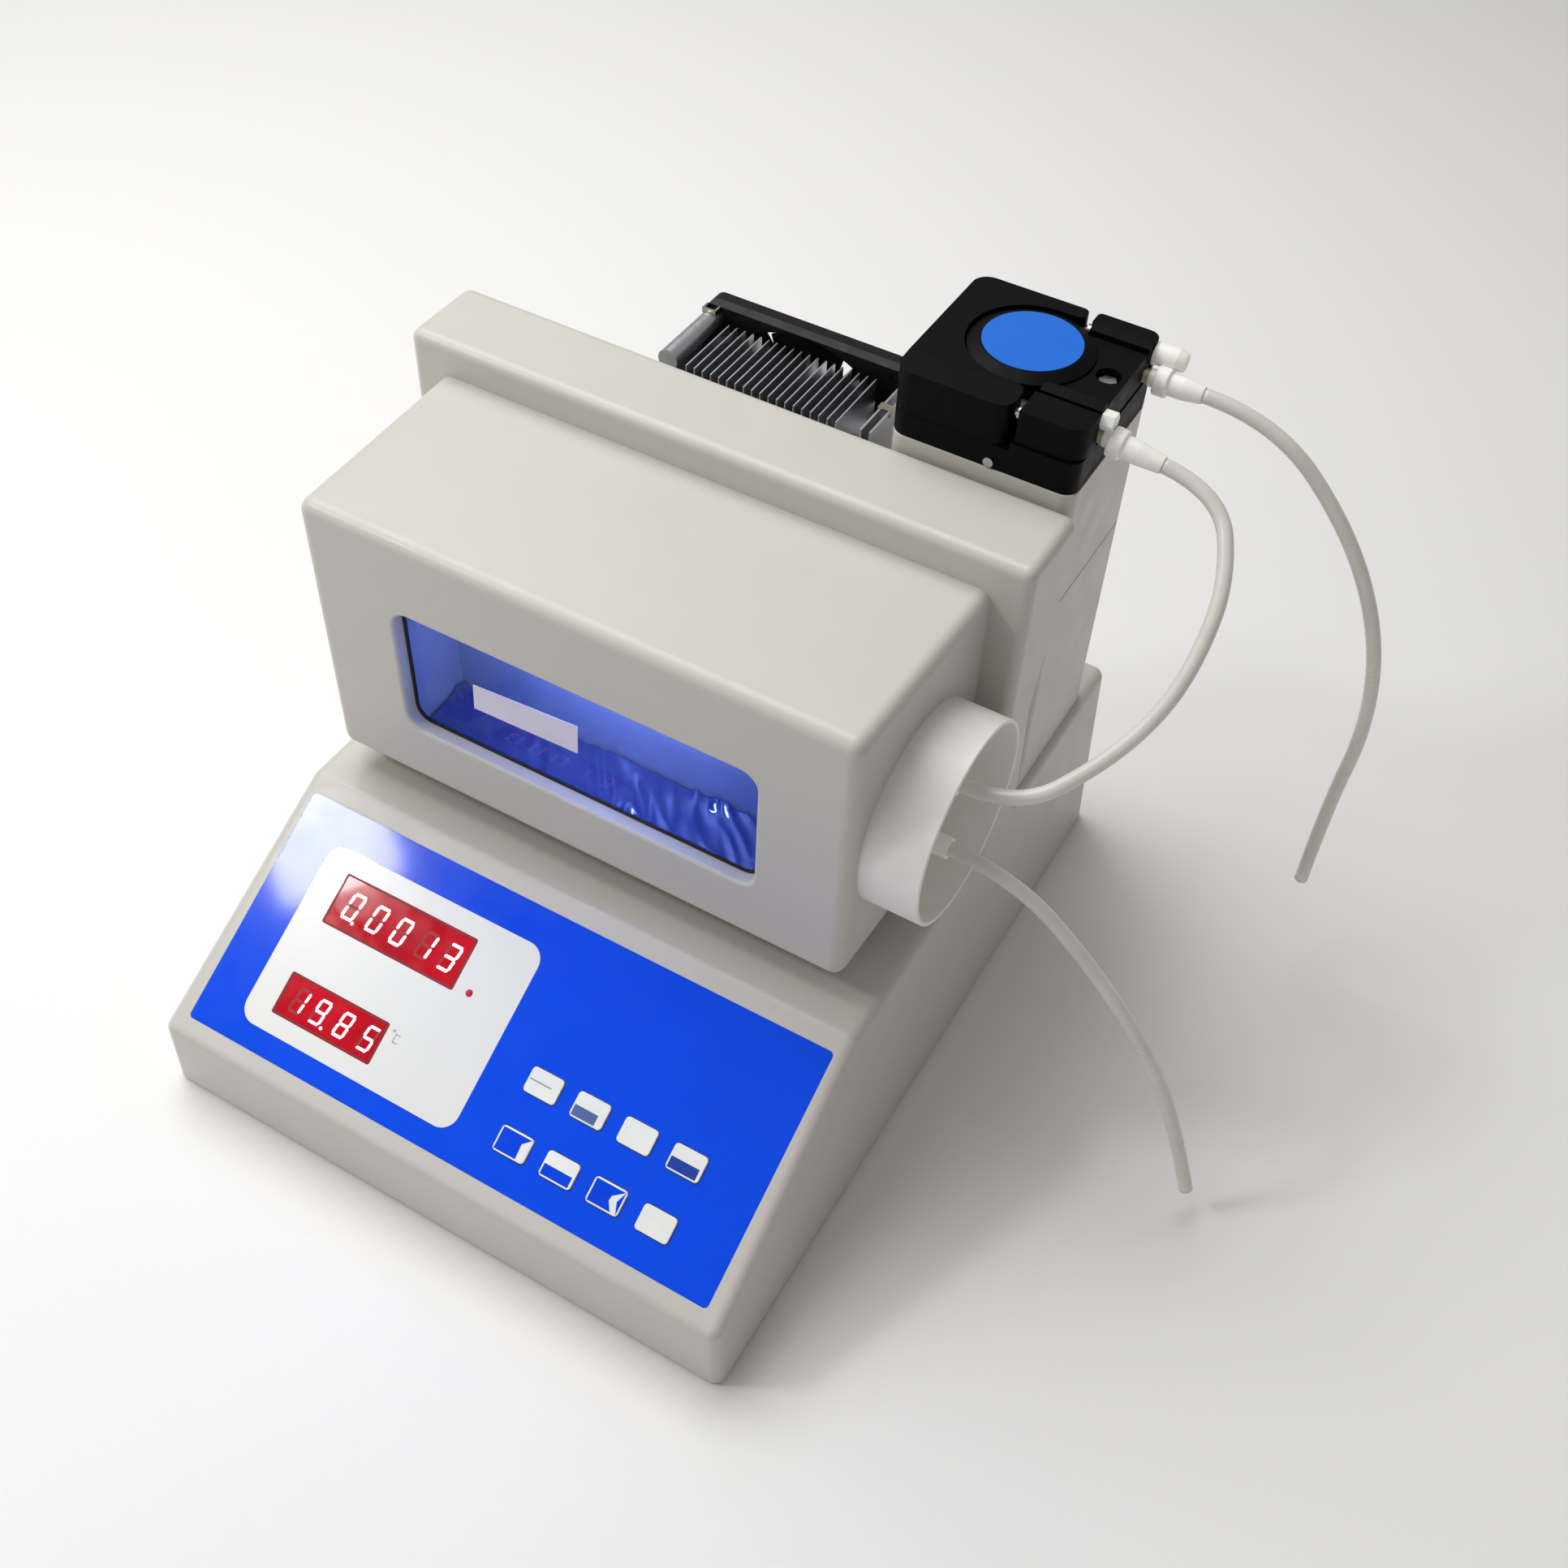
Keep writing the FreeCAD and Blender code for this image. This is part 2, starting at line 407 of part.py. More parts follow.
def make_supply():
    """Sheet-metal tray, open above, with a transformer and a round coil."""
    low = RIM_Z + FLOOR_T + SUPPLY_STAND_H
    inside = low + SUPPLY_WALL
    tray = box(SUPPLY_X, SUPPLY_Y, (low, low + SUPPLY_H))
    tray = tray.cut(box(grown(SUPPLY_X, -2), (SUPPLY_Y[0] - 2, SUPPLY_Y[1] - 2), (inside, inside + SUPPLY_H)))
    coil = box(COIL_X, COIL_Y, (inside, inside + COIL_H))
    return fuse(tray, coil, cyl(TOROID_X, TOROID_Y, low + 1, TOROID_R, TOROID_H))


def make_inlet():
    """Mains socket with three pins, beside the well of the switch."""
    front, past = INLET_Y + 0.5, CONSOLE_DEPTH + 5
    socket = box(INLET_BODY_X, (INLET_DEPTH_Y, front), INLET_BODY_Z)
    flange = rounded_plate_y(INLET_X, INLET_Z, (INLET_Y, CONSOLE_DEPTH), INLET_ROUND)
    cavity = rounded_plate_y(SOCKET_X, SOCKET_Z, (SOCKET_Y, past), INLET_ROUND)
    pins = [box(grown((x, x), PIN_HALF_X), PIN_Y, grown((z, z), PIN_HALF_Z)) for x, z in SOCKET_PINS]
    frame = box(SWITCH_BODY_X, (SWITCH_DEPTH_Y, front), SWITCH_BODY_Z)
    well = box(SWITCH_WELL_X, (SWITCH_DEPTH_Y + 2, past), SWITCH_WELL_Z)
    pin_hole = cyl(ROCKER_PIN_X[0] - 0.2, ROCKER_Y, ROCKER_Z, ROCKER_PIN_R + RUNNING_GAP,
                   ROCKER_PIN_X[1] - ROCKER_PIN_X[0] + 0.4, X_AXIS)
    return fuse(cut(fuse(fuse(socket, flange).cut(cavity), frame), well, pin_hole), *pins)


def rounded_plate_y(x, z, y, radius):
    plate = box(x, y, z)
    return round_edges(plate, radius, lambda b: b.YLength > 1 and b.XLength < 1e-3 and b.ZLength < 1e-3)


def make_rocker():
    """Rocker pressed at its upper end, on a pin that turns in the inlet's frame."""
    tilt = math.radians(ROCKER_TILT)
    turned = [(ROCKER_Y + y * math.cos(tilt) - z * math.sin(tilt),
               ROCKER_Z + y * math.sin(tilt) + z * math.cos(tilt)) for y, z in ROCKER_OUTLINE]
    pin = cyl(ROCKER_PIN_X[0], ROCKER_Y, ROCKER_Z, ROCKER_PIN_R, ROCKER_PIN_X[1] - ROCKER_PIN_X[0], X_AXIS)
    return fuse(prism_x(turned, ROCKER_X), pin)


# ---- hood --------------------------------------------------------------------------------
def hood_block(inset, radius):
    y0, y1 = HOOD_Y[0] + inset, HOOD_Y[1] + (0 if not inset else 5)
    lean = (HOOD_HALF[1] - HOOD_HALF[0]) / (HOOD_Y[1] - HOOD_Y[0])
    front = HOOD_HALF[0] - inset + lean * (y0 - HOOD_Y[0])
    back = HOOD_HALF[0] - inset + lean * (y1 - HOOD_Y[0])
    plan = [(HOOD_X - front, y0), (HOOD_X + front, y0), (HOOD_X + back, y1), (HOOD_X - back, y1)]
    block = prism_z(plan, (HOOD_Z[0] + inset, HOOD_Z[1] - inset))
    return round_edges(block, radius, lambda b: b.YMin < y1 - 1)


def pane_well(grow, y, radius):
    x = (HOOD_X - PANE_HALF_X - grow, HOOD_X + PANE_HALF_X + grow)
    return rounded_plate_y(x, grown(PANE_Z, grow), y, radius)


def make_hood():
    well_back = HOOD_Y[0] + PANE_DEPTH
    lip = pane_well(PANE_LIP, (HOOD_Y[0] + 1, well_back), PANE_ROUND + PANE_LIP)
    hollow = hood_block(HOOD_WALL, HOOD_ROUND - HOOD_WALL)
    shell = fuse(hood_block(0, HOOD_ROUND).cut(hollow), lip)
    shell = shell.cut(pane_well(0, grown((HOOD_Y[0], well_back), 5), PANE_ROUND))
    low, high = grown(PANE_Z, 1)
    front_lip = [e for e in shell.Edges if e.BoundBox.YMax < HOOD_Y[0] + 0.01
                 and abs(e.BoundBox.Center.x - HOOD_X) < PANE_HALF_X + 1
                 and low < e.BoundBox.Center.z < high]
    shell = shell.makeFillet(PANE_EDGE, front_lip)
    save("hood_shell", cut(shell, *port_holes()))
    gasket = pane_well(PANE_MARGIN, (well_back, well_back + GASKET_T), PANE_ROUND + PANE_MARGIN)
    hole = pane_well(-GASKET_LAP, grown((well_back, well_back + GASKET_T), 1), PANE_ROUND - GASKET_LAP)
    save("window_gasket", gasket.cut(hole))
    pane_y = (well_back + GASKET_T, well_back + GASKET_T + PANE_T)
    save("window_pane", pane_well(PANE_MARGIN, pane_y, PANE_ROUND + PANE_MARGIN))
    save("port_ring", make_ring())


def port_holes():
    return [cyl(HOOD_HALF[0] - 20, PORT_Y, z, PORT_HOLE_R, 40, X_AXIS) for z in (PORT_UPPER_Z, PORT_LOWER_Z)]


def make_ring():
    """Open collar around the two ports, seated on the hood's side."""
    def tube(end_x, wall):
        outer = cyl(RING_ROOT_X, RING_Y, RING_Z, RING_R, end_x - RING_ROOT_X, X_AXIS)
        return outer.cut(cyl(RING_ROOT_X - 1, RING_Y, RING_Z, RING_R - wall, RING_R, X_AXIS))
    ring = tube(RING_RIM_X, RING_WALL).fuse(tube(RING_SEAT_X, RING_SEAT_WALL))
    ring = ring.cut(hood_block(0, HOOD_ROUND)).removeSplitter()
    return ring.makeFillet(0.5, [e for e in ring.Edges if e.BoundBox.XMin > RING_RIM_X - 0.01])


def make_rear_frame():
    """Hollow housing behind the hood, with a stepped back and open at the front."""
    def rounded(b):
        level = b.ZMin > HOOD_Z[1] or b.XLength < 1
        return b.ZMax > CONSOLE_TOP + 1 and level and b.ZLength < REACH
    body = round_edges(prism_x(FRAME_PROFILE, FRAME_X), HOOD_ROUND - 1, rounded)
    inner = prism_x(FRAME_INNER, grown(FRAME_X, -FRAME_WALL))
    opening = box(FRAME_OPENING[0], grown((HOOD_Y[1], HOOD_Y[1]), 6), FRAME_OPENING[1])
    cold_port = box(grown((SINK_X, SINK_X), COLD_PORT_HALF), (HOOD_Y[1] + 18, SINK_BASE_Y[1]),
                    grown((FAN_Z, FAN_Z), COLD_PORT_HALF))
    save("rear_frame", cut(body, inner, opening, cold_port))


def make_cell():
    """Thermostatted block, glass U-tube and the two supports that hold it."""
    block = box(BLOCK_X, BLOCK_Y, BLOCK_Z)
    flange = box(BLOCK_FLANGE_X, BLOCK_FLANGE_Y, BLOCK_FLANGE_Z)
    bridge = box(grown((SINK_X, SINK_X), COOLER_HALF), (BLOCK_Y[1], SINK_BASE_Y[0] - COOLER_T), BRIDGE_Z)
    pocket = box(BLOCK_POCKET_X, BLOCK_POCKET_Y, BLOCK_POCKET_Z)
    save("thermostat_block", fuse(block, flange, bridge).cut(pocket))
    save("measuring_cell", make_u_tube())
    supports = []
    for x in SUPPORT_X:
        support = box((x, x + SUPPORT_W), SUPPORT_Y, SUPPORT_Z)
        legs = [cyl(x - 1, PORT_Y, z, CELL_R + 0.1, SUPPORT_W + 8, X_AXIS)
                for z in (PORT_UPPER_Z, PORT_LOWER_Z)]
        supports.append(cut(support, *legs))
    save("cell_supports", *supports)
    wall = hood_block(0, HOOD_ROUND).cut(hood_block(HOOD_WALL, HOOD_ROUND - HOOD_WALL))
    wall = cut(wall, *port_holes())
    save("port_nipples", *[make_nipple(z).cut(wall) for z in (PORT_UPPER_Z, PORT_LOWER_Z)])


def make_u_tube():
    bend_r = (PORT_UPPER_Z - PORT_LOWER_Z) / 2
    upper, lower = V(CELL_X[0], PORT_Y, PORT_UPPER_Z), V(CELL_X[0], PORT_Y, PORT_LOWER_Z)
    start = V(CELL_X[1], PORT_Y, PORT_UPPER_Z)
    bend = V(CELL_X[0] - bend_r, PORT_Y, PORT_LOWER_Z + bend_r)
    path = [Part.makeLine(start, upper), Part.Arc(upper, bend, lower).toShape(),
            Part.makeLine(lower, V(CELL_X[1], PORT_Y, PORT_LOWER_Z))]
    return hollow_pipe(path, start, X_AXIS, CELL_R, CELL_R - CELL_WALL)


def make_nipple(z):
    nipple = fuse(cyl(CELL_X[1], PORT_Y, z, PORT_R, PORT_TIP_X - CELL_X[1], X_AXIS),
                  cyl(PORT_FLANGE_X, PORT_Y, z, PORT_FLANGE_R, PORT_FLANGE_T, X_AXIS))
    return nipple.cut(cyl(CELL_X[1] - 1, PORT_Y, z, TUBE_BORE_R, PORT_TIP_X - CELL_X[1] + 2, X_AXIS))


# ---- cooling ---------------------------------------------------------------------------------
def make_cooling():
    cooler = box(grown((SINK_X, SINK_X), COOLER_HALF), (SINK_BASE_Y[0] - COOLER_T, SINK_BASE_Y[0]),
                 grown((FAN_Z, FAN_Z), COOLER_HALF))
    save("peltier_module", cooler)
    first = SINK_X - FIN_PITCH * (FIN_COUNT - 1) / 2
    fins = [make_fin(first + i * FIN_PITCH, FIN_T, FIN_Y[1], FIN_Z[1]) for i in range(FIN_COUNT)]
    plates = [make_fin(x, PLATE_T, FAN_Y[0], PLATE_TOP) for x in PLATE_X]
    web = make_fin(RAIL_X, WEB_T, FAN_Y[0], RAIL_Z)
    rail = cyl(RAIL_X, FIN_Y[0], RAIL_Z, RAIL_R, FAN_Y[0] - FIN_Y[0], Y_AXIS)
    seat = box(grown((RAIL_X, RAIL_X), RAIL_R + 1), (FAN_Y[0] - CLIP_L - 0.2, FAN_Y[0] + 1),
               (CLIP_Z[0], CLIP_Z[0] + RAIL_R))
    base = box(SINK_BASE_X, SINK_BASE_Y, SINK_BASE_Z)
    save("heat_sink", fuse(base, rail.cut(seat), web, *(fins + plates)))
    save("fan_frame", make_fan_frame())
    save("fan_impeller", make_impeller())
    save("fan_clips", *make_clips())


def make_fin(x, thickness, end_y, top):
    return box(grown((x, x), thickness / 2), (FIN_Y[0], end_y), (FIN_Z[0], top))


def fan_plate():
    x, z = grown((SINK_X, SINK_X), FAN_SIZE / 2), grown((FAN_Z, FAN_Z), FAN_SIZE / 2)
    front, drop = FAN_Y[0], z[1] - FAN_BEVEL_DROP
    bevel = prism_x([(front - 1, z[1] + 1), (front - 1, drop), (front, drop),
                     (front + FAN_BEVEL, z[1]), (front + FAN_BEVEL, z[1] + 1)], grown(x, 1))
    return rounded_plate_y(x, z, FAN_Y, FAN_ROUND).cut(bevel)


def make_fan_frame():
    back, front, past = FAN_Y[1] - STRUT_T, FAN_Y[0] - 1, 20
    bore = cyl(SINK_X, front, FAN_Z, FAN_BORE, past, Y_AXIS)
    offset = FAN_SCREW_PITCH / 2
    corners = [cyl(SINK_X + sx * offset, front, FAN_Z + sz * offset, FAN_SCREW_R, past, Y_AXIS)
               for sx in (-1, 1) for sz in (-1, 1)]
    frame = cut(fan_plate(), bore, *corners)
    mount = cyl(SINK_X, back, FAN_Z, MOUNT_R, STRUT_T, Y_AXIS)
    axle_y = FAN_Y[0] + 2.5
    axle = cyl(SINK_X, axle_y, FAN_Z, AXLE_R, back - axle_y + 0.5, Y_AXIS)
    struts = []
    for angle in (45, 135, 225, 315):
        strut = box(grown((SINK_X, SINK_X), STRUT_HALF), (back, FAN_Y[1]), (FAN_Z + 15, FAN_Z + FAN_BORE + 1))
        strut.rotate(V(SINK_X, 0, FAN_Z), Y_AXIS, angle)
        struts.append(strut)
    return fuse(frame, mount, axle, *struts)


def make_impeller():
    front = FAN_Y[0] + HUB_SINK
    depth = FAN_Y[1] - STRUT_T - 0.3 - front
    middle = front + depth / 2
    hub = cyl(SINK_X, front, FAN_Z, FAN_HUB_R, depth, Y_AXIS)
    hub = hub.cut(cyl(SINK_X, front + 1.4, FAN_Z, AXLE_R + RUNNING_GAP, depth, Y_AXIS))
    hub = round_edges(hub, 1.0, lambda b: b.YMax < front + 0.01 and b.XLength > FAN_HUB_R)
    sweep = cyl(SINK_X, front - 0.4, FAN_Z, FAN_BORE - BLADE_TIP_GAP, depth + 0.2, Y_AXIS)
    core = cyl(SINK_X, front - 1, FAN_Z, FAN_HUB_R - HUB_LAP, depth + 7, Y_AXIS)
    root_z, tip_z = FAN_Z + 12, FAN_Z + FAN_BORE + 3
    outline = [(SINK_X - BLADE_ROOT, root_z), (SINK_X + BLADE_ROOT, root_z),
               (SINK_X + BLADE_TIP, tip_z), (SINK_X - BLADE_TIP, tip_z)]
    blades = []
    for i in range(FAN_BLADES):
        blade = prism_y(outline, grown((middle, middle), BLADE_T / 2))
        blade.rotate(V(SINK_X, middle, FAN_Z), Z_AXIS, FAN_TILT)
        blade = blade.common(sweep).cut(core)
        blade.rotate(V(SINK_X, 0, FAN_Z), Y_AXIS, i * 360.0 / FAN_BLADES)
        blades.append(blade)
    return fuse(hub, *blades)


def make_clips():
    """Bent nickel strips: one on the end of the rail, one across the two plates."""
    x, y = CLIP_LEFT_X, (FAN_Y[0] - CLIP_L, FAN_Y[0])
    left = box(x, y, CLIP_Z).cut(box(grown(x, -CLIP_WALL), (y[0] + CLIP_WALL, y[1] + 1), grown(CLIP_Z, 1)))
    z = (PLATE_TOP - 2.4, PLATE_TOP + CLIP_WALL)
    right = box(grown(PLATE_X, PLATE_T), CLIP_RIGHT_Y, z)
    right = right.cut(box(grown(PLATE_X, PLATE_T / 2), grown(CLIP_RIGHT_Y, 1), (z[0] - 1, PLATE_TOP)))
    return left, right


# ---- pedestal ------------------------------------------------------------------------------------
def pedestal_part(z, top_wall):
    outer = rounded_box(PEDESTAL_X, PEDESTAL_Y, z, PEDESTAL_ROUND)
    x, y = grown(PEDESTAL_X, -PEDESTAL_WALL), grown(PEDESTAL_Y, -PEDESTAL_WALL)
    return outer.cut(rounded_box(x, y, (z[0] - 1, z[1] - top_wall), PEDESTAL_ROUND - PEDESTAL_WALL))


def make_pedestal():
    save("pedestal_lower", pedestal_part((CONSOLE_TOP, PEDESTAL_SEAM_Z), -1))
    upper = pedestal_part((PEDESTAL_SEAM_Z, HEAD_Z[0]), PEDESTAL_LID)
    seam = (PEDESTAL_SEAM_Z - 1, PEDESTAL_SEAM_Z + SEAM_HEIGHT)
    groove = rounded_box(grown(PEDESTAL_X, 1), grown(PEDESTAL_Y, 1), seam, PEDESTAL_ROUND)
    groove = groove.cut(rounded_box(grown(PEDESTAL_X, -SEAM_DEPTH), grown(PEDESTAL_Y, -SEAM_DEPTH),
                                    grown(seam, 1), PEDESTAL_ROUND - SEAM_DEPTH))
    hole = MOTOR_HALF + 0.4
    lid = grown((HEAD_Z[0], HEAD_Z[0]), 8)
    motor_hole = box(grown((ROTOR_X, ROTOR_X), hole), grown((ROTOR_Y, ROTOR_Y), hole), lid)
    save("pedestal_upper", cut(upper, groove, motor_hole))
    motor = box(grown((ROTOR_X, ROTOR_X), MOTOR_HALF), grown((ROTOR_Y, ROTOR_Y), MOTOR_HALF), MOTOR_Z)
    motor = round_edges(motor, MOTOR_ROUND, along_z)
    holes = [cyl(x, y, MOTOR_Z[1] - 5, 1.5, 6) for x, y in motor_screws()]
    save("pump_motor", cut(motor, cyl(ROTOR_X, ROTOR_Y, MOTOR_Z[0] - 1, SHAFT_R + RUNNING_GAP, 60), *holes))


def motor_screws():
    return [(ROTOR_X + sx * MOTOR_SCREW, ROTOR_Y + sy * MOTOR_SCREW) for sx in (-1, 1) for sy in (-1, 1)]


# ---- pump head --------------------------------------------------------------------------------------
def head_plan(x, y, z, left_r, right_r):
    shape = box(x, y, z)
    if left_r:
        shape = round_edges(shape, left_r, lambda b: along_z(b) and b.XMax < x[0] + 0.1)
    if right_r:
        shape = round_edges(shape, right_r, lambda b: along_z(b) and b.XMin > x[1] - 0.1)
    return shape


def make_pump_base():
    low = head_plan(HEAD_X, HEAD_Y, (HEAD_Z[0], BASE_LEFT_Z), HEAD_ROUND_LEFT, HEAD_ROUND_RIGHT)
    step = head_plan((STEP_X, HEAD_X[1]), HEAD_Y, (HEAD_Z[0], BASE_RIGHT_Z), 0, HEAD_ROUND_RIGHT)
    under, seat = HEAD_Z[0] - 5, BASE_LEFT_Z - 3.4
    tools = [cyl(ROTOR_X, ROTOR_Y, under, 4.0, 30), cyl(ROTOR_X, ROTOR_Y, BASE_LEFT_Z, BASE_RECESS_R, 10)]
    screws = []
    for x, y in motor_screws():
        tools += [cyl(x, y, under, 1.7, 30), cyl(x, y, seat, 3.1, 10)]
        screws.append(fuse(cyl(x, y, seat, 2.8, 3.0), cyl(x, y, HEAD_Z[0] - 4, 1.45, 12)))
    tools.append(cyl(SIDE_SCREW_X, HEAD_Y[0] - 1, SIDE_SCREW_Z, 1.3, 9, Y_AXIS))
    screws.append(fuse(cyl(SIDE_SCREW_X, HEAD_Y[0] - 0.8, SIDE_SCREW_Z, 2.1, 0.8, Y_AXIS),
                       cyl(SIDE_SCREW_X, HEAD_Y[0] - 0.4, SIDE_SCREW_Z, 1.2, 7, Y_AXIS)))
    save("pump_base", cut(fuse(low, step), *tools))
    save("pump_screws", *screws)


def make_bed_block():
    """C-shaped tube bed that slides away from the rotor on two guide pins."""
    z = (BASE_LEFT_Z + BED_GAP, HEAD_Z[1])
    block = head_plan((HEAD_X[0], BED_TIP_X), HEAD_Y, z, HEAD_ROUND_LEFT, 0)
    channel = box((ROTOR_X, BED_TIP_X + 1), (ROTOR_Y - BED_R, ROTOR_Y + BED_R), grown(z, 1))
    block = cut(block, cyl(ROTOR_X, ROTOR_Y, z[0] - 1, BED_R, 30), channel)
    for radius, side in zip(BED_TIP_ROUND, (-1, 1)):
        block = round_edges(block, radius, lambda b: along_z(b) and b.XMin > BED_TIP_X - 0.1
                            and side * (b.Center.y - ROTOR_Y) > 0)
    run, drop = BED_FACET
    facet = prism_x([(HEAD_Y[0] - 1, z[1] + 1), (HEAD_Y[0] - 1, z[1] - drop), (HEAD_Y[0] + run, z[1]),
                     (HEAD_Y[0] + run, z[1] + 1)], (HEAD_X[0] - 1, BED_TIP_X + 1))
    bores = [cyl(GUIDE_X[0] - 6, y, GUIDE_Z, GUIDE_R + RUNNING_GAP, 30, X_AXIS) for y in GUIDE_Y]
    save("tube_bed_block", cut(block, facet, *bores))
    pins = [fuse(cyl(GUIDE_X[0], y, GUIDE_Z, GUIDE_R, GUIDE_X[1] - GUIDE_X[0], X_AXIS),
                 cyl(CLAMP_X - COLLAR_L, y, GUIDE_Z, COLLAR_R, COLLAR_L, X_AXIS)) for y in GUIDE_Y]
    save("guide_pins", *pins)


def make_nose():
    """Plate between the two jaws, hollowed for the rotor and its cap."""
    slot = TUBE_R + 0.5
    near, far = ROTOR_Y - TRACK_R + slot, ROTOR_Y + TRACK_R - slot
    nose = box(NOSE_X, (near, far), (BASE_RIGHT_Z, PLATE_Z))
    lip = box(NOSE_X, (far - 1, JAW_REAR_Y[0] - 1.4), (TRACK_Z + slot, PLATE_Z))
    tools = [cyl(ROTOR_X, ROTOR_Y, BASE_LEFT_Z, NOSE_BORE_R, 30),
             cyl(ROTOR_X, ROTOR_Y, CAP_Z[0] - 0.4, CAP_R + 0.4, 5),
             cyl(HEX_X, HEX_Y, PLATE_Z - HEX_DEPTH, HEX_POCKET_R, 10),
             cyl(HEX_X, HEX_Y, BASE_RIGHT_Z - 1, 1.7, 20)]
    save("pump_nose", cut(fuse(nose, lip), *tools))
    head = prism_z(hexagon(HEX_X, HEX_Y, HEX_R), (PLATE_Z - HEX_DEPTH, PLATE_Z - HEX_DEPTH + HEX_H))
    save("hex_bolt", fuse(head, cyl(HEX_X, HEX_Y, BASE_RIGHT_Z + 0.5, 1.5, 8)))


def hexagon(x, y, radius):
    turns = [math.radians(60 * i) for i in range(6)]
    return [(x + radius * math.cos(t), y + radius * math.sin(t)) for t in turns]


def make_clamps():
    low, right = BASE_RIGHT_Z + 0.2, HEAD_X[1]
    front = box((CLAMP_X, right), CLAMP_FRONT_Y, (low, CLAMP_FRONT_Z))
    rear = box((CLAMP_X, right), CLAMP_REAR_Y, (low, HEAD_Z[1]))
    near, far = CLAMP_FRONT_Y[0] + 1, CLAMP_REAR_Y[1] - 1
    front = round_edges(front, 7.0, lambda b: along_z(b) and b.XMin > right - 1 and b.YMax < near)
    rear = round_edges(rear, 5.0, lambda b: along_z(b) and b.XMin > right - 1 and b.YMin > far)
    rear = round_edges(rear, 2.0, lambda b: along_z(b) and b.XMax < CLAMP_X + 1 and b.YMin > far)
    holes = [cyl(CLAMP_X - 1, y, GUIDE_Z, GUIDE_R, GUIDE_X[1] - CLAMP_X + 1, X_AXIS) for y in GUIDE_Y]
    stem_hole = cyl(right - PLUG_STEM, PLUG_Y, PLUG_Z, STEM_R, PLUG_STEM + 1, X_AXIS)
    save("clamp_blocks", front.cut(holes[0]), cut(rear, holes[1], stem_hole))


def make_jaws():
    """Bars that press on the tube where it enters and leaves the track."""
    low = TRACK_Z + TUBE_R + 0.2
    cap = cyl(ROTOR_X, ROTOR_Y, CAP_Z[0] - 2, CAP_R + 0.4, 6)
    stem_hole = cyl(HEAD_X[1] - KNOB_STEM - 0.5, KNOB_Y, KNOB_Z, STEM_R, KNOB_STEM + 1, X_AXIS)
    bars = []
    for near, far in (JAW_FRONT_Y, JAW_REAR_Y):
        bar = prism_x([(near, low), (far, low), (far, JAW_Z[1]), (near, JAW_Z[0])], JAW_X)
        bars.append(cut(bar, cap, stem_hole))
    save("tube_jaws", *bars)


def make_rotor():
    def disc(z, radius, height):
        return cyl(ROTOR_X, ROTOR_Y, z, radius, height)
    plates = [disc(z, PLATE_R, ROTOR_PLATE_T) for z in ROTOR_PLATE_Z]
    pins = [cyl(x, y, ROTOR_PLATE_Z[0] + 1, ROLLER_PIN_R, 11) for x, y in roller_centres()]
    shaft = disc(SHAFT_Z[0], SHAFT_R, SHAFT_Z[1] - SHAFT_Z[0])
    save("pump_rotor", fuse(shaft, disc(HUB_Z[0], HUB_R, HUB_Z[1] - HUB_Z[0]), *(plates + pins)))
    for number, (x, y) in enumerate(roller_centres(), 1):
        roller = cyl(x, y, ROLLER_Z[0], ROLLER_R, ROLLER_Z[1] - ROLLER_Z[0])
        roller = roller.cut(cyl(x, y, ROLLER_Z[0] - 1, ROLLER_PIN_R + RUNNING_GAP, 12))
        save("roller_%d" % number, round_edges(roller, 0.6, lambda b: b.XLength > ROLLER_R))
    low, high = CAP_Z
    bevel = Part.makeCone(CAP_R, DISC_R + 0.6, high - low - CAP_RIM_H, V(ROTOR_X, ROTOR_Y, low + CAP_RIM_H))
    cap = fuse(disc(low, CAP_R, CAP_RIM_H), bevel, disc(CAP_SPIGOT_Z, CAP_SPIGOT_R, 3.6))
    recess = disc(high - DISC_T, DISC_R + RUNNING_GAP, 2)
    socket = disc(CAP_SPIGOT_Z - 0.2, SHAFT_R + RUNNING_GAP, SHAFT_Z[1] + 0.1 - CAP_SPIGOT_Z + 0.2)
    hub_socket = disc(CAP_SPIGOT_Z - 0.2, HUB_R, HUB_Z[1] - CAP_SPIGOT_Z + 0.2)
    save("rotor_cap", cut(cap, recess, socket, hub_socket))
    save("rotor_disc", disc(high - DISC_T, DISC_R, DISC_T + 0.3))


def roller_centres():
    turns = [math.radians(ROLLER_FIRST + 360.0 / ROLLERS * i) for i in range(ROLLERS)]
    return [(ROTOR_X + ROLLER_PITCH_R * math.cos(t), ROTOR_Y + ROLLER_PITCH_R * math.sin(t)) for t in turns]


def hollow_pipe(edges, start, direction, outer_r, bore_r):
    wire = Part.Wire(edges)
    solids = []
    for radius in (outer_r, bore_r):
        ring = Part.Wire([Part.makeCircle(radius, start, direction)])
        solids.append(wire.makePipeShell([ring], True, False))
    return solids[0].cut(solids[1])


def make_pump_tube():
    end_x, left_x = FRONT_PORT.x, ROTOR_X - TRACK_R
    near, far = FRONT_PORT.y, REAR_PORT.y
    start = V(end_x, near, TRACK_Z)
    turn_in, turn_out = V(ROTOR_X, near, TRACK_Z), V(ROTOR_X, far, TRACK_Z)
    path = [Part.makeLine(start, turn_in), Part.Arc(turn_in, V(left_x, ROTOR_Y, TRACK_Z), turn_out).toShape(),
            Part.makeLine(turn_out, V(end_x, far, TRACK_Z))]
    save("pump_tube", hollow_pipe(path, start, X_AXIS, TUBE_R, TUBE_BORE_R))


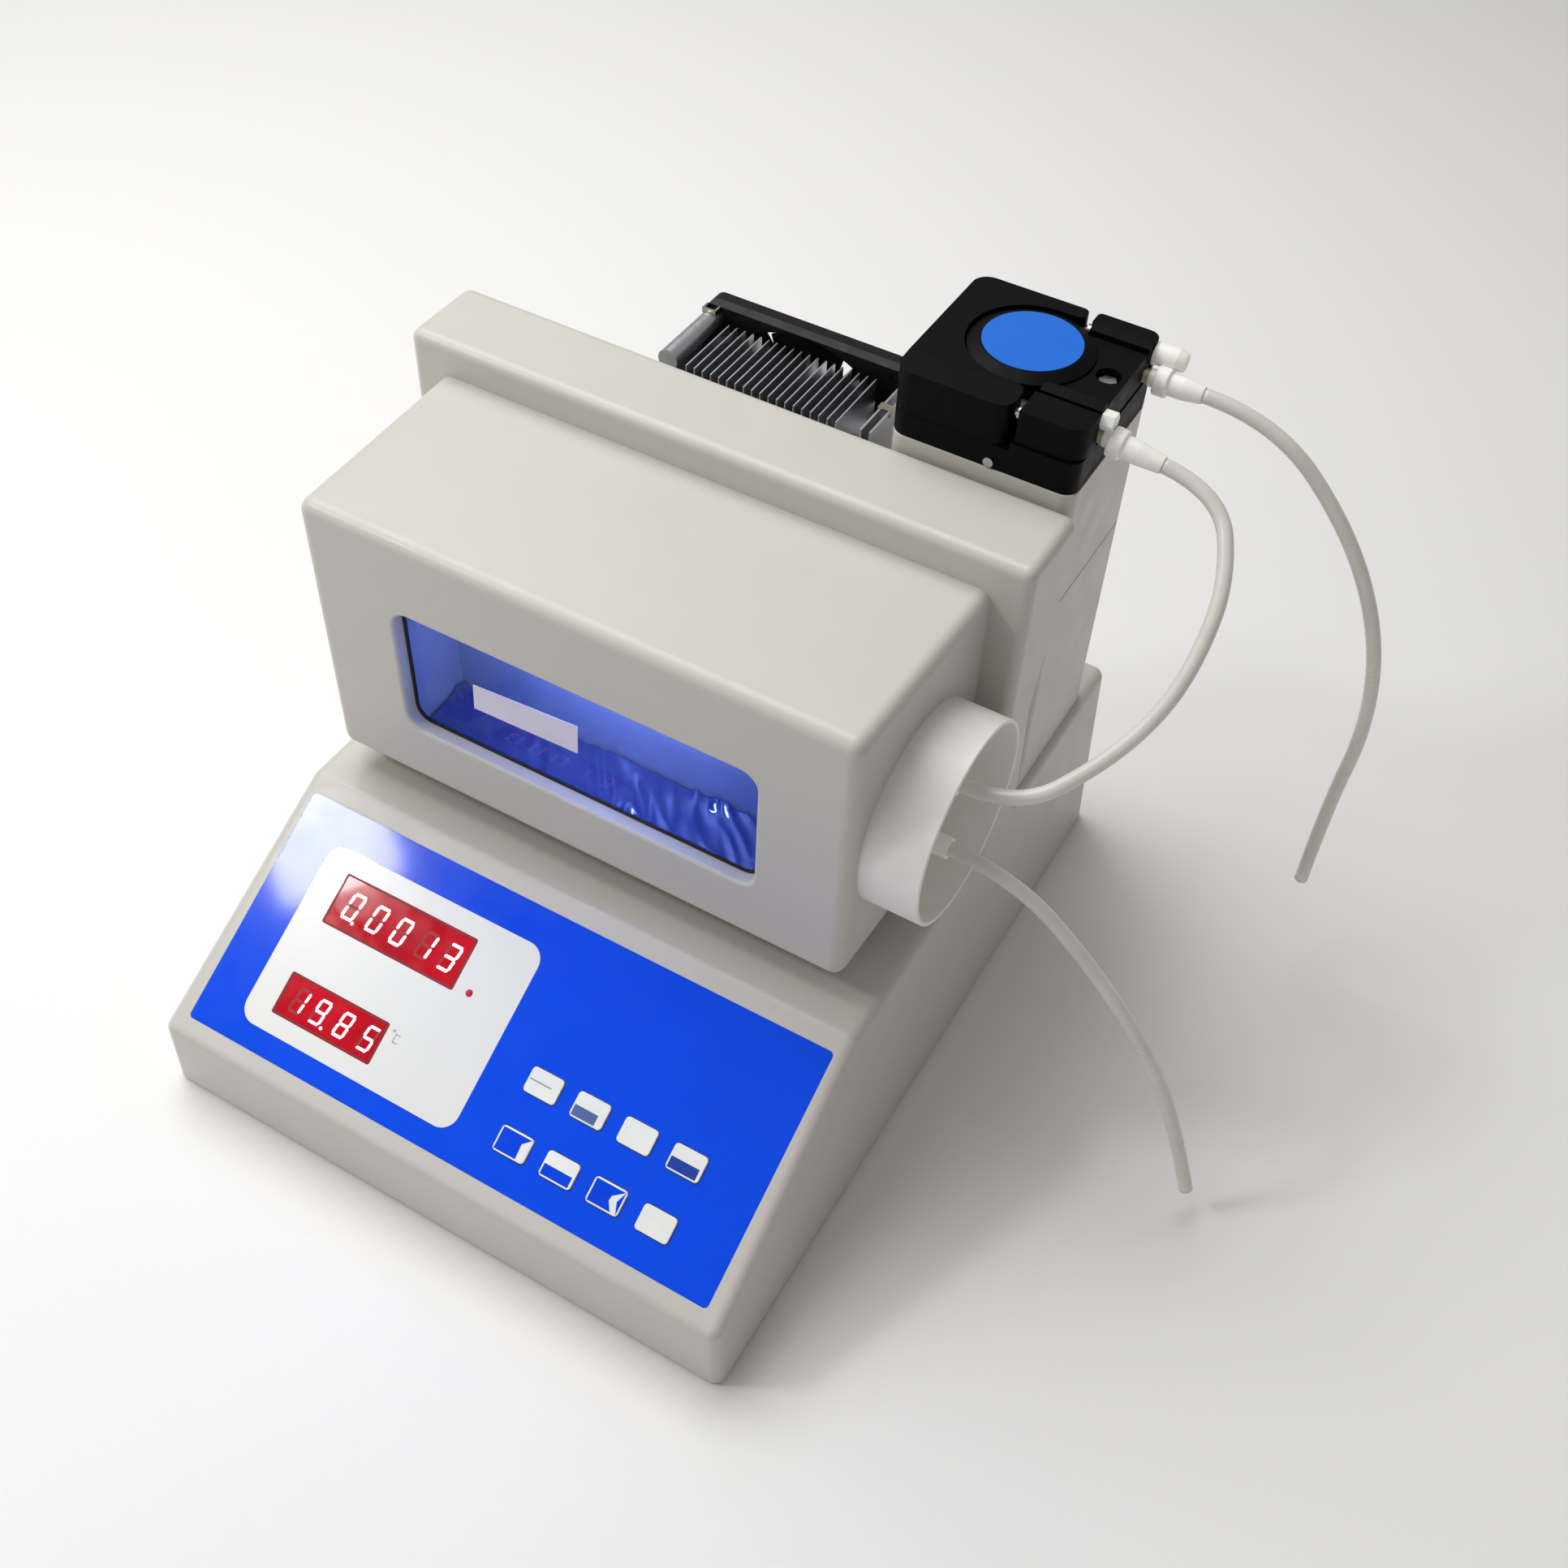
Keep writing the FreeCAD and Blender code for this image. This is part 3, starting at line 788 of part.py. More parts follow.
def fitting(port, tip):
    """Flange nut and tapered sleeve on the line from the pump tube's end to the hose."""
    axis = tip.sub(port)
    length = axis.Length
    low, high = NUT_FLANGE
    taper_at = high + SLEEVE_L
    nut = fuse(cyl(0, 0, -1, NUT_BACK_R, low + 1.4), cyl(0, 0, low, NUT_FLANGE_R, high - low))
    nut = round_edges(nut, 0.8, lambda b: b.XLength > 2 * NUT_FLANGE_R - 1)
    sleeve = fuse(cyl(0, 0, high, SLEEVE_R, SLEEVE_L),
                  Part.makeCone(SLEEVE_R, SLEEVE_TIP_R, length - taper_at, V(0, 0, taper_at)))
    bore = cyl(0, 0, -2, TUBE_BORE_R, length + 4)
    pieces = [nut.cut(bore), sleeve.cut(bore)]
    for piece in pieces:
        piece.Placement = FreeCAD.Placement(port, FreeCAD.Rotation(Z_AXIS, axis))
    behind = box((port.x - 5, port.x), grown((port.y, port.y), 9), grown((port.z, port.z), 9))
    return pieces[0].cut(behind), pieces[1]


def make_fittings():
    front, rear = fitting(FRONT_PORT, FRONT_TIP), fitting(REAR_PORT, REAR_TIP)
    save("hose_nuts", front[0], rear[0])
    save("hose_sleeves", front[1], rear[1])
    face, nut_r = HEAD_X[1], NUT_FLANGE_R + 0.2
    knob = fuse(prism_x(hexagon(KNOB_Y, KNOB_Z, KNOB_R), (face, face + KNOB_L)),
                cyl(face - KNOB_STEM, KNOB_Y, KNOB_Z, STEM_R, KNOB_STEM + 0.5, X_AXIS))
    knob = knob.cut(Part.makeCylinder(nut_r, 20, FRONT_PORT, FRONT_TIP.sub(FRONT_PORT)))
    plug = fuse(cyl(face, PLUG_Y, PLUG_Z, PLUG_R, PLUG_L, X_AXIS),
                Part.makeCone(PLUG_R, PLUG_R - PLUG_TAPER, 3.2, V(face + PLUG_L, PLUG_Y, PLUG_Z), X_AXIS),
                cyl(face - PLUG_STEM, PLUG_Y, PLUG_Z, STEM_R, PLUG_STEM + 1, X_AXIS))
    plug = plug.cut(cyl(face + 1.0, REAR_PORT.y, REAR_PORT.z, nut_r, 30, X_AXIS))
    save("jaw_knobs", knob, plug)


# ---- hoses --------------------------------------------------------------------------------------------
def hose_path(points):
    """Straight runs joined by tangent arcs, each arc sized from the shorter run."""
    pts = [V(*p) for p in points]
    edges, radii, last = [], [], pts[0]
    for before, here, after in zip(pts, pts[1:], pts[2:]):
        back, ahead = before.sub(here), after.sub(here)
        half_turn = (math.pi - back.getAngle(ahead)) / 2
        reach = 0.45 * min(back.Length, ahead.Length)
        radius = reach / math.tan(half_turn)
        start = here.add(V(back).normalize().multiply(reach))
        end = here.add(V(ahead).normalize().multiply(reach))
        towards = V(back).normalize().add(V(ahead).normalize()).normalize()
        middle = here.add(towards.multiply(radius / math.cos(half_turn) - radius))
        edges += [Part.makeLine(last, start), Part.Arc(start, middle, end).toShape()]
        radii.append(radius)
        last = end
    edges.append(Part.makeLine(last, pts[-1]))
    return edges, radii


def make_hose(name, points):
    edges, radii = hose_path(points)
    direction = V(*points[1]).sub(V(*points[0]))
    hose = hollow_pipe(edges, V(*points[0]), direction, TUBE_R, TUBE_BORE_R)
    length = sum(e.Length for e in edges)
    expected = math.pi * (TUBE_R ** 2 - TUBE_BORE_R ** 2) * length
    print("%s length %.0f volume %.0f expected %.0f radii %s"
          % (name, length, hose.Volume, expected, [round(r) for r in radii]))
    save(name, hose)


def main():
    os.makedirs(OUT_DIR, exist_ok=True)
    make_console()
    make_floor()
    make_panel()
    make_electronics()
    make_hood()
    make_rear_frame()
    make_cell()
    make_cooling()
    make_pedestal()
    make_pump_base()
    make_bed_block()
    make_nose()
    make_clamps()
    make_jaws()
    make_rotor()
    make_pump_tube()
    make_fittings()
    make_hose("hose_outlet", TUBE_A)
    make_hose("hose_link", TUBE_B)
    make_hose("hose_inlet", TUBE_C)


main()
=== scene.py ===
"""Looks for the benchtop density meter with its peristaltic pump head.

Metres, in the row frame: origin at the centre of the console's footprint on
the bench, +Z up, the operator's side faces -Y.
"""
import math

import bpy
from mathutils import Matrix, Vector, noise


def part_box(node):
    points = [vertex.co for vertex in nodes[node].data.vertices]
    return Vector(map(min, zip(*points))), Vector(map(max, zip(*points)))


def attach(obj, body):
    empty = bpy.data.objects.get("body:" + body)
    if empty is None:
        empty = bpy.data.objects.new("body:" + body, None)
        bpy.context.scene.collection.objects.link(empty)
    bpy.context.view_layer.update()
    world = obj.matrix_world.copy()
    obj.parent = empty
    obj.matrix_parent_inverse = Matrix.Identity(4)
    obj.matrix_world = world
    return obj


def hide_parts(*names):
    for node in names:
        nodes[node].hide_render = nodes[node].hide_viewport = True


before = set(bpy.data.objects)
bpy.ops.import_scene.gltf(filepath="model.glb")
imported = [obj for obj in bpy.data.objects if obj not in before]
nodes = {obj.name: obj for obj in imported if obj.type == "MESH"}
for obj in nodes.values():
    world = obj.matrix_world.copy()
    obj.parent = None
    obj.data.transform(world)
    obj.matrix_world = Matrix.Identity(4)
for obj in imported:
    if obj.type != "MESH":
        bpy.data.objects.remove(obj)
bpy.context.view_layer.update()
root = "chassis"                         # the body that never moves


# ---- driving sizes, as in the part's own source ------------------------------------------
MM = 0.001
CONSOLE_HALF_DEPTH = 0.1775
CONSOLE_HEIGHT = 0.1017
FRONT_HEIGHT, PANEL_RUN = 0.040, 0.1091      # the panel slopes up and back from the front's top
SLOPE = math.atan2(CONSOLE_HEIGHT - FRONT_HEIGHT, PANEL_RUN)
TUBE_DIAMETER = 0.006
WALL = 0.001
KEY_X = (28.4, 50.7, 73.0, 95.9)             # each column's middle, in millimetres across
KEY_V = (53.4, 27.5)                         # each row's middle, in millimetres up the slope
KEY_W, KEY_H, KEY_PROUD = 15.0, 10.9, 0.9


# ---- camera ------------------------------------------------------------------------------
CAMERA_AT = (0.2881, -0.4364, 0.6878)
CAMERA_TURN = (42.03, -2.20, 29.99)          # degrees about x, y and z
CAMERA_LENS, CAMERA_SENSOR = 41.40, 36.0     # millimetres
CAMERA_NEAR, CAMERA_FAR = 0.02, 20.0


def make_camera():
    data = bpy.data.cameras.new("camera")
    data.lens, data.sensor_width = CAMERA_LENS, CAMERA_SENSOR
    data.clip_start, data.clip_end = CAMERA_NEAR, CAMERA_FAR
    camera = bpy.data.objects.new("camera", data)
    camera.location = CAMERA_AT
    camera.rotation_euler = [math.radians(a) for a in CAMERA_TURN]
    bpy.context.scene.collection.objects.link(camera)
    bpy.context.scene.camera = camera


# ---- material helpers --------------------------------------------------------------------
def linear(red, green, blue):
    """An sRGB colour, each part 0 to 255, as linear red, green, blue and alpha."""
    def part(value):
        value /= 255.0
        return value / 12.92 if value <= 0.04045 else ((value + 0.055) / 1.055) ** 2.4
    return (part(red), part(green), part(blue), 1.0)


def principled(name, colour, roughness, metallic=0.0, **inputs):
    """One Principled shader. Any other input is a socket's name, with _ for each space."""
    material = bpy.data.materials.new(name)
    material.use_nodes = True
    shader = material.node_tree.nodes["Principled BSDF"]
    shader.inputs["Base Color"].default_value = colour
    shader.inputs["Roughness"].default_value = roughness
    shader.inputs["Metallic"].default_value = metallic
    for key, value in inputs.items():
        shader.inputs[key.replace("_", " ")].default_value = value
    return material


def noise_node(material, scale, detail, stretch):
    """A noise texture in the piece's own coordinates, drawn out by stretch where it is given."""
    tree = material.node_tree
    texture = tree.nodes.new("ShaderNodeTexNoise")
    texture.inputs["Scale"].default_value = scale
    texture.inputs["Detail"].default_value = detail
    place = tree.nodes.new("ShaderNodeTexCoord")
    if stretch is None:
        tree.links.new(place.outputs["Object"], texture.inputs["Vector"])
    else:
        mapping = tree.nodes.new("ShaderNodeMapping")
        mapping.inputs["Scale"].default_value = stretch
        tree.links.new(place.outputs["Object"], mapping.inputs["Vector"])
        tree.links.new(mapping.outputs["Vector"], texture.inputs["Vector"])
    return texture


NOISE_LOW, NOISE_HIGH = 0.3, 0.7     # most of a noise texture's values lie between these
SHEEN_DETAIL = 5.0


def add_tone(material, amount, scale, detail=3.0, stretch=None):
    """Uneven colour: the base colour drifts darker and lighter by amount."""
    tree = material.node_tree
    shader = tree.nodes["Principled BSDF"]
    base = list(shader.inputs["Base Color"].default_value)[:3]
    ramp = tree.nodes.new("ShaderNodeValToRGB")
    ramp.color_ramp.elements[0].position = NOISE_LOW
    ramp.color_ramp.elements[1].position = NOISE_HIGH
    ramp.color_ramp.elements[0].color = [c * (1 - amount) for c in base] + [1.0]
    ramp.color_ramp.elements[1].color = [min(1.0, c * (1 + amount)) for c in base] + [1.0]
    texture = noise_node(material, scale, detail, stretch)
    tree.links.new(texture.outputs["Fac"], ramp.inputs["Fac"])
    tree.links.new(ramp.outputs["Color"], shader.inputs["Base Color"])
    return material


def add_sheen_map(material, low, high, scale, stretch=None):
    """Uneven gloss, as handling and moulding leave it: the roughness drifts from low to high."""
    tree = material.node_tree
    spread = tree.nodes.new("ShaderNodeMapRange")
    spread.inputs["From Min"].default_value = NOISE_LOW
    spread.inputs["From Max"].default_value = NOISE_HIGH
    spread.inputs["To Min"].default_value = low
    spread.inputs["To Max"].default_value = high
    texture = noise_node(material, scale, SHEEN_DETAIL, stretch)
    tree.links.new(texture.outputs["Fac"], spread.inputs["Value"])
    tree.links.new(spread.outputs["Result"], tree.nodes["Principled BSDF"].inputs["Roughness"])
    return material


def add_grain(material, scale, strength, distance, detail=4.0, stretch=None):
    """A fine surface bump, laid over any bump that is already there."""
    tree = material.node_tree
    shader = tree.nodes["Principled BSDF"]
    bump = tree.nodes.new("ShaderNodeBump")
    bump.inputs["Strength"].default_value = strength
    bump.inputs["Distance"].default_value = distance
    texture = noise_node(material, scale, detail, stretch)
    tree.links.new(texture.outputs["Fac"], bump.inputs["Height"])
    if shader.inputs["Normal"].links:
        before = shader.inputs["Normal"].links[0].from_socket
        tree.links.new(before, bump.inputs["Normal"])
    tree.links.new(bump.outputs["Normal"], shader.inputs["Normal"])
    return material


# ---- materials ---------------------------------------------------------------------------
def abs_plastic():
    made = principled("abs_beige", linear(200, 197, 190), 0.36, Specular_IOR_Level=0.4)
    add_tone(made, amount=0.015, scale=9.0)
    add_sheen_map(made, low=0.30, high=0.42, scale=60.0)
    return add_grain(made, scale=1400.0, strength=0.12, distance=0.0002)


def overlay_film():
    made = principled("overlay_blue", linear(0, 76, 234), 0.2, Specular_IOR_Level=0.08,
                      Coat_Weight=0.4, Coat_Roughness=0.07)
    add_tone(made, amount=0.03, scale=30.0)
    add_sheen_map(made, low=0.12, high=0.26, scale=90.0)
    add_grain(made, scale=35.0, strength=0.10, distance=0.0006, detail=2.0)
    return add_grain(made, scale=1800.0, strength=0.05, distance=0.0001)


def label_film():
    made = principled("label_white", linear(230, 231, 228), 0.30,
                      Coat_Weight=0.1, Coat_Roughness=0.1)
    add_tone(made, amount=0.006, scale=14.0)
    add_sheen_map(made, low=0.28, high=0.33, scale=60.0)
    return add_grain(made, scale=1600.0, strength=0.05, distance=0.0001)


def red_filter():
    # The window's emission is painted glow: the red filter glows though it is no lamp.
    made = principled("window_red", linear(150, 2, 20), 0.10, Specular_IOR_Level=0.2,
                      Coat_Weight=0.25, Coat_Roughness=0.03,
                      Emission_Color=linear(190, 2, 30), Emission_Strength=0.45)
    add_tone(made, amount=0.3, scale=40.0)
    return add_sheen_map(made, low=0.06, high=0.16, scale=120.0)


def rubber(name, colour):
    made = principled(name, colour, 0.75)
    add_tone(made, amount=0.2, scale=80.0)
    add_sheen_map(made, low=0.65, high=0.85, scale=200.0)
    return add_grain(made, scale=2200.0, strength=0.25, distance=0.0002)


def metal(name, colour, low, high, brushed=None):
    """Bare metal between two roughnesses, brushed along one way where brushed is given."""
    made = principled(name, colour, (low + high) / 2, 1.0)
    add_tone(made, amount=0.06, scale=60.0, stretch=brushed)
    add_sheen_map(made, low=low, high=high, scale=260.0, stretch=brushed)
    return add_grain(made, scale=900.0, strength=0.12, distance=0.0001, stretch=brushed)


def moulded(name, colour, low, high, grain=0.18, scale=2400.0, tone=0.05, specular=0.5):
    """Solid plastic between two roughnesses, with a grain of its own strength and scale."""
    made = principled(name, colour, (low + high) / 2, Specular_IOR_Level=specular)
    add_tone(made, amount=tone, scale=45.0)
    add_sheen_map(made, low=low, high=high, scale=140.0)
    return add_grain(made, scale=scale, strength=grain, distance=0.0002)


SILICONE_IOR, SPREAD_DEPTH, SPREAD_RATIO = 1.41, 0.004, (1.0, 0.9, 0.8)


def translucent(name, colour, transmission, low, high, subsurface=0.0, painted_glow=0.0):
    """Milky plastic or silicone, with a faint painted glow that stands in for the light that
    spreads inside it.
    """
    made = principled(name, colour, (low + high) / 2,
                      Transmission_Weight=transmission, IOR=SILICONE_IOR,
                      Subsurface_Weight=subsurface, Subsurface_Scale=SPREAD_DEPTH,
                      Subsurface_Radius=SPREAD_RATIO,
                      Emission_Color=colour, Emission_Strength=painted_glow)
    add_tone(made, amount=0.04, scale=70.0)
    add_sheen_map(made, low=low, high=high, scale=150.0)
    return add_grain(made, scale=90.0, strength=0.015, distance=0.0001, detail=1.0)


def pane_blue():
    made = principled("pane_blue", (0.17, 0.26, 0.80, 1.0), 0.03,
                      Transmission_Weight=1.0, IOR=1.12, Specular_IOR_Level=0.3)
    add_tone(made, amount=0.03, scale=20.0)
    return add_grain(made, scale=16.0, strength=0.02, distance=0.001, detail=2.0)


def circuit_board():
    made = principled("circuit_board", linear(24, 92, 48), 0.35,
                      Coat_Weight=0.3, Coat_Roughness=0.2)
    add_tone(made, amount=0.25, scale=220.0, detail=6.0)
    return add_grain(made, scale=500.0, strength=0.2, distance=0.0003)


def glowing(name, colour, strength):
    """A glowing surface: a lamp or a lit digit, or painted glow on a part that is no lamp."""
    return principled(name, colour, 0.5, Emission_Color=colour, Emission_Strength=strength)


def dress(material, *names):
    """Give these pieces one material in every slot they have."""
    for name in names:
        slots = nodes[name].data.materials
        slots.clear()
        slots.append(material)


# ---- small mesh helpers ------------------------------------------------------------------
def panel_point(x, v, w):
    """A place on the sloping panel, in millimetres across, up the slope and out of it."""
    return Vector((x * MM,
                   -CONSOLE_HALF_DEPTH + (v * math.cos(SLOPE) - w * math.sin(SLOPE)) * MM,
                   FRONT_HEIGHT + (v * math.sin(SLOPE) + w * math.cos(SLOPE)) * MM))


def mesh_piece(name, points, faces, material, body):
    """A new piece of one material that rides on a body."""
    mesh = bpy.data.meshes.new(name)
    mesh.from_pydata([tuple(p) for p in points], [], faces)
    mesh.update()
    piece = bpy.data.objects.new(name, mesh)
    bpy.context.scene.collection.objects.link(piece)
    mesh.materials.append(material)
    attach(piece, body)
    return piece


def slab(outline, low, high):
    """Points and faces of a flat plate: an outline on the panel between two heights."""
    count = len(outline)
    points = [panel_point(x, v, w) for w in (low, high) for x, v in outline]
    faces = [tuple(reversed(range(count))), tuple(range(count, 2 * count))]
    faces += [(i, (i + 1) % count, count + (i + 1) % count, count + i) for i in range(count)]
    return points, faces


def joined(plates):
    """Several lots of points and faces as one lot."""
    points, faces = [], []
    for more_points, more_faces in plates:
        faces += [tuple(i + len(points) for i in face) for face in more_faces]
        points += more_points
    return points, faces


# ---- hoses -------------------------------------------------------------------------------
# The corner points of each route in millimetres: x from the console's middle, y from its
# front face and z from the bench.
HOSES = {
    "hose_outlet": [(155, 323.9, 282), (184, 323.9, 282), (222, 323.9, 247), (246, 323.9, 205),
                    (256, 323.9, 157), (253, 323.9, 103), (254, 323.9, 54)],
    "hose_link": [(157, 279.1, 279), (181, 279.1, 276), (196, 255, 259), (198, 231, 241),
                  (194, 211, 226), (182, 191, 211), (161, 170, 195), (138, 170, 195)],
    "hose_inlet": [(138, 170, 158), (166, 170, 158), (204, 170, 127), (235, 170, 90),
                   (254, 170, 52), (266, 170, 16)],
}
# How finely each hose is drawn round and along, and the order of its smooth line.
HOSE_BEVEL, HOSE_STEPS, HOSE_ORDER = 8, 24, 3


def hose(name, route, material):
    """A hollow tube along a smooth line that its route's corner points steer."""
    curve = bpy.data.curves.new(name + "_line", "CURVE")
    curve.dimensions = "3D"
    curve.bevel_depth = TUBE_DIAMETER / 2
    curve.bevel_resolution = HOSE_BEVEL
    curve.resolution_u = HOSE_STEPS
    curve.use_fill_caps = False
    spline = curve.splines.new("NURBS")
    spline.points.add(len(route) - 1)
    for point, (x, y, z) in zip(spline.points, route):
        point.co = (x * MM, y * MM - CONSOLE_HALF_DEPTH, z * MM, 1.0)
    spline.order_u = HOSE_ORDER
    spline.use_endpoint_u = True
    piece = bpy.data.objects.new(name + "_tube", curve)
    bpy.context.scene.collection.objects.link(piece)
    curve.materials.append(material)
    wall = piece.modifiers.new("wall", "SOLIDIFY")
    wall.thickness, wall.offset = WALL, -1.0
    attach(piece, root)
    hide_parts(name)


def make_hoses():
    # The silicone's glow is painted light.
    silicone = translucent("silicone", linear(228, 227, 221), 0.35, 0.18, 0.28, painted_glow=0.04)
    for name, route in HOSES.items():
        hose(name, route, silicone)


# ---- seven-segment digits ----------------------------------------------------------------
SEGMENTS = {"0": "abcdef", "1": "bc", "3": "abcdg", "5": "acdfg", "8": "abcdefg", "9": "abcdfg"}
DIGIT_W, DIGIT_H, STROKE, LEAN = 6.6, 12.4, 1.35, 0.144
SEGMENT_GAP, SEGMENT_TIP = 0.22, 0.6     # the tip is a share of half the stroke
DOT_R, DOT_SIDES = 0.8, 12
DIGIT_LOW, DIGIT_HIGH = 0.01, 0.05       # heights above the panel
# Each display: its characters, their places across, their place up the slope, their size
# and where the decimal point is.
UPPER_DISPLAY = ("00013", (-85.2, -72.6, -60.1, -47.0, -34.9), 80.9, 1.0, (-82.3, 74.6))
LOWER_DISPLAY = ("1985", (-86.0, -75.2, -62.8, -50.0), 36.2, 0.92, (-71.6, 30.6))


def segment_outline(key):
    """One bar of a digit, about the digit's own centre, before it leans."""
    w, h, s = DIGIT_W / 2, DIGIT_H / 2, STROKE / 2
    gap = SEGMENT_GAP
    across = {"a": h - s, "g": 0.0, "d": s - h}
    if key in across:
        v = across[key]
        x = w - gap - s
        tip = x + s * SEGMENT_TIP
        return [(-tip, v), (-x, v + s), (x, v + s), (tip, v), (x, v - s), (-x, v - s)]
    side = w - s if key in "bc" else s - w
    low, high = (gap, h - s - gap) if key in "bf" else (s + gap - h, -gap)
    return [(side, low), (side + s, low + s), (side + s, high - s),
            (side, high), (side - s, high - s), (side - s, low + s)]


def digit_plates(character, x, v, lit, size):
    """The lit or the unlit bars of one digit about (x, v)."""
    plates = []
    for key in "abcdefg":
        if (key in SEGMENTS[character]) != lit:
            continue
        outline = [(x + (px + pv * LEAN) * size, v + pv * size) for px, pv in segment_outline(key)]
        plates.append(slab(outline[::-1], DIGIT_LOW, DIGIT_HIGH))
    return plates


def dot_plate(x, v, radius):
    turns = [2 * math.pi * i / DOT_SIDES for i in range(DOT_SIDES)]
    outline = [(x + radius * math.cos(turn), v + radius * math.sin(turn)) for turn in turns]
    return slab(outline, DIGIT_LOW, DIGIT_HIGH)


def make_digits():
    bright = glowing("digit_lit", linear(255, 206, 214), 1.5)
    # The unlit bars' emission is painted glow: they are no lamp.
    unlit_painted_glow = glowing("digit_unlit", linear(138, 4, 26), 0.35)
    lit, unlit = [], []
    for text, places, v, size, dot in (UPPER_DISPLAY, LOWER_DISPLAY):
        for character, x in zip(text, places):
            lit += digit_plates(character, x, v, True, size)
            unlit += digit_plates(character, x, v, False, size)
        lit.append(dot_plate(dot[0], dot[1], DOT_R))
    points, faces = joined(lit)
    mesh_piece("digits_lit", points, faces, bright, root)
    points, faces = joined(unlit)
    mesh_piece("digits_unlit", points, faces, unlit_painted_glow, root)


# ---- print on the keys and on the label --------------------------------------------------
PRINT_T = 0.06
KEY_OUTLINE = 0.75                       # the plain margin round a key's print
RIM_W = 0.8
WINDOWS = (((-95.2, -27.4), (69.7, 92.6)), ((-95.5, -44.6), (27.1, 45.7)))
DEGREE_DOT = (-41.2, 44.2, 0.7)          # its middle and radius
DEGREE_BARS = ((-40.0, -39.5, 39.6, 43.4), (-40.0, -37.4, 43.0, 43.5), (-40.0, -37.4, 39.5, 40.0))


def box_outline(x0, x1, v0, v1):
    return [(x0, v0), (x1, v0), (x1, v1), (x0, v1)]


def print_on_key(number, name, outline, material, layer=0):
    """A thin flat mark on a key's face, about the key's middle, above any layers under it."""
    x, v = KEY_X[(number - 1) % 4], KEY_V[(number - 1) // 4]
    low = KEY_PROUD + layer * PRINT_T
    points, faces = slab([(x + px, v + pv) for px, pv in outline], low, low + PRINT_T)
    mesh_piece("key_%d_%s" % (number, name), points, faces, material,
               "key_%d_body" % number)


def make_key_print():
    """Plain marks, whose edges are shares of the print's half width w and half height h."""
    grey = moulded("print_grey", linear(160, 160, 176), 0.3, 0.4, grain=0.05)
    slate = moulded("print_slate", linear(72, 104, 160), 0.3, 0.4, grain=0.05)
    navy = moulded("print_navy", linear(0, 58, 164), 0.25, 0.35, grain=0.05)
    blue = moulded("print_blue", linear(0, 70, 226), 0.2, 0.3, grain=0.05, specular=0.15)
    white = moulded("print_white", linear(240, 241, 244), 0.3, 0.4, grain=0.05)
    w, h = KEY_W / 2 - KEY_OUTLINE, KEY_H / 2 - KEY_OUTLINE
    print_on_key(1, "line", box_outline(-w, w * 0.55, -0.1, 0.5), grey)
    print_on_key(2, "band", box_outline(-w, w * 0.62, -h, -0.3), slate)
    print_on_key(4, "band", box_outline(-w, w * 0.9, -h, -0.1), navy)
    print_on_key(6, "band", box_outline(-w, w * 0.94, -h, -0.2), blue)
    fold = [(w, h), (0.5 * w, 0.35 * h), (0.55 * w, -h), (w, -h)]
    chevron = [(w, h), (0.3 * w, 0.25 * h), (0.25 * w, -0.2 * h), (0.62 * w, -h), (w, -h),
               (0.72 * w, 0)]
    for number, mark in ((5, fold), (7, chevron)):
        print_on_key(number, "field", box_outline(-w, w, -h, h), blue)
        print_on_key(number, "mark", mark[::-1], white, layer=1)


def make_label_marks():
    """The degree mark by the lower window, and the dark edges inside both windows, given a dimmer
    painted glow.
    """
    ink = moulded("print_ink", linear(176, 176, 180), 0.4, 0.5, grain=0.05)
    plates = [dot_plate(*DEGREE_DOT)]
    for bar in DEGREE_BARS:
        plates.append(slab(box_outline(*bar), DIGIT_LOW, DIGIT_HIGH))
    points, faces = joined(plates)
    mesh_piece("degree_mark", points, faces, ink, root)
    # The rims glow a dimmer red: painted glow on edges that are no lamp.
    rim_painted_glow = glowing("window_rim", linear(96, 8, 26), 0.25)
    plates = []
    for (x0, x1), (v0, v1) in WINDOWS:
        for outline in (box_outline(x0, x1, v1 - RIM_W, v1), box_outline(x0, x1, v0, v0 + RIM_W),
                        box_outline(x0, x0 + RIM_W, v0 + RIM_W, v1 - RIM_W),
                        box_outline(x1 - RIM_W, x1, v0 + RIM_W, v1 - RIM_W)):
            plates.append(slab(outline, DIGIT_LOW, DIGIT_HIGH))
    points, faces = joined(plates)
    mesh_piece("window_rims", points, faces, rim_painted_glow, root)


# ---- behind and on the hood's pane -------------------------------------------------------
CHAMBER_X, CHAMBER_Y, CHAMBER_Z = (-0.0868, 0.0798), (-0.0470, -0.0190), (0.1365, 0.2120)
LINER_T = 0.0006
FILM_COLUMNS, FILM_ROWS, FILM_MARGIN = 180, 40, 0.001
FILM_LIFT, FILM_SWELL, FILM_CREASE, FILM_T = 0.0030, 0.0016, 0.0034, 0.0002
SWELL_X, SWELL_Y, SWELL_SEED = 26, 60, 1.7
CREASE_X, CREASE_SLANT, CREASE_Y, CREASE_SEED = 120, 90, 50, 5.2
CREASE_LEAST, CREASE_BIAS = 0.3, 0.35    # the creases are strong where the film swells
TAG_CORNERS = ((-0.0556, 0.1665), (-0.0056, 0.1682), (-0.0048, 0.1838), (-0.0549, 0.1802))  # x, z
TAG_OFF, TAG_T = 0.0003, 0.0002          # its face in front of the pane's, its thickness


def box_mesh(x, y, z):
    """Points and faces of a box between two values of x, of y and of z."""
    points = [Vector((a, b, c)) for a in x for b in y for c in z]
    faces = [(0, 1, 3, 2), (4, 6, 7, 5), (0, 4, 5, 1), (2, 3, 7, 6), (0, 2, 6, 4), (1, 5, 7, 3)]
    return points, faces


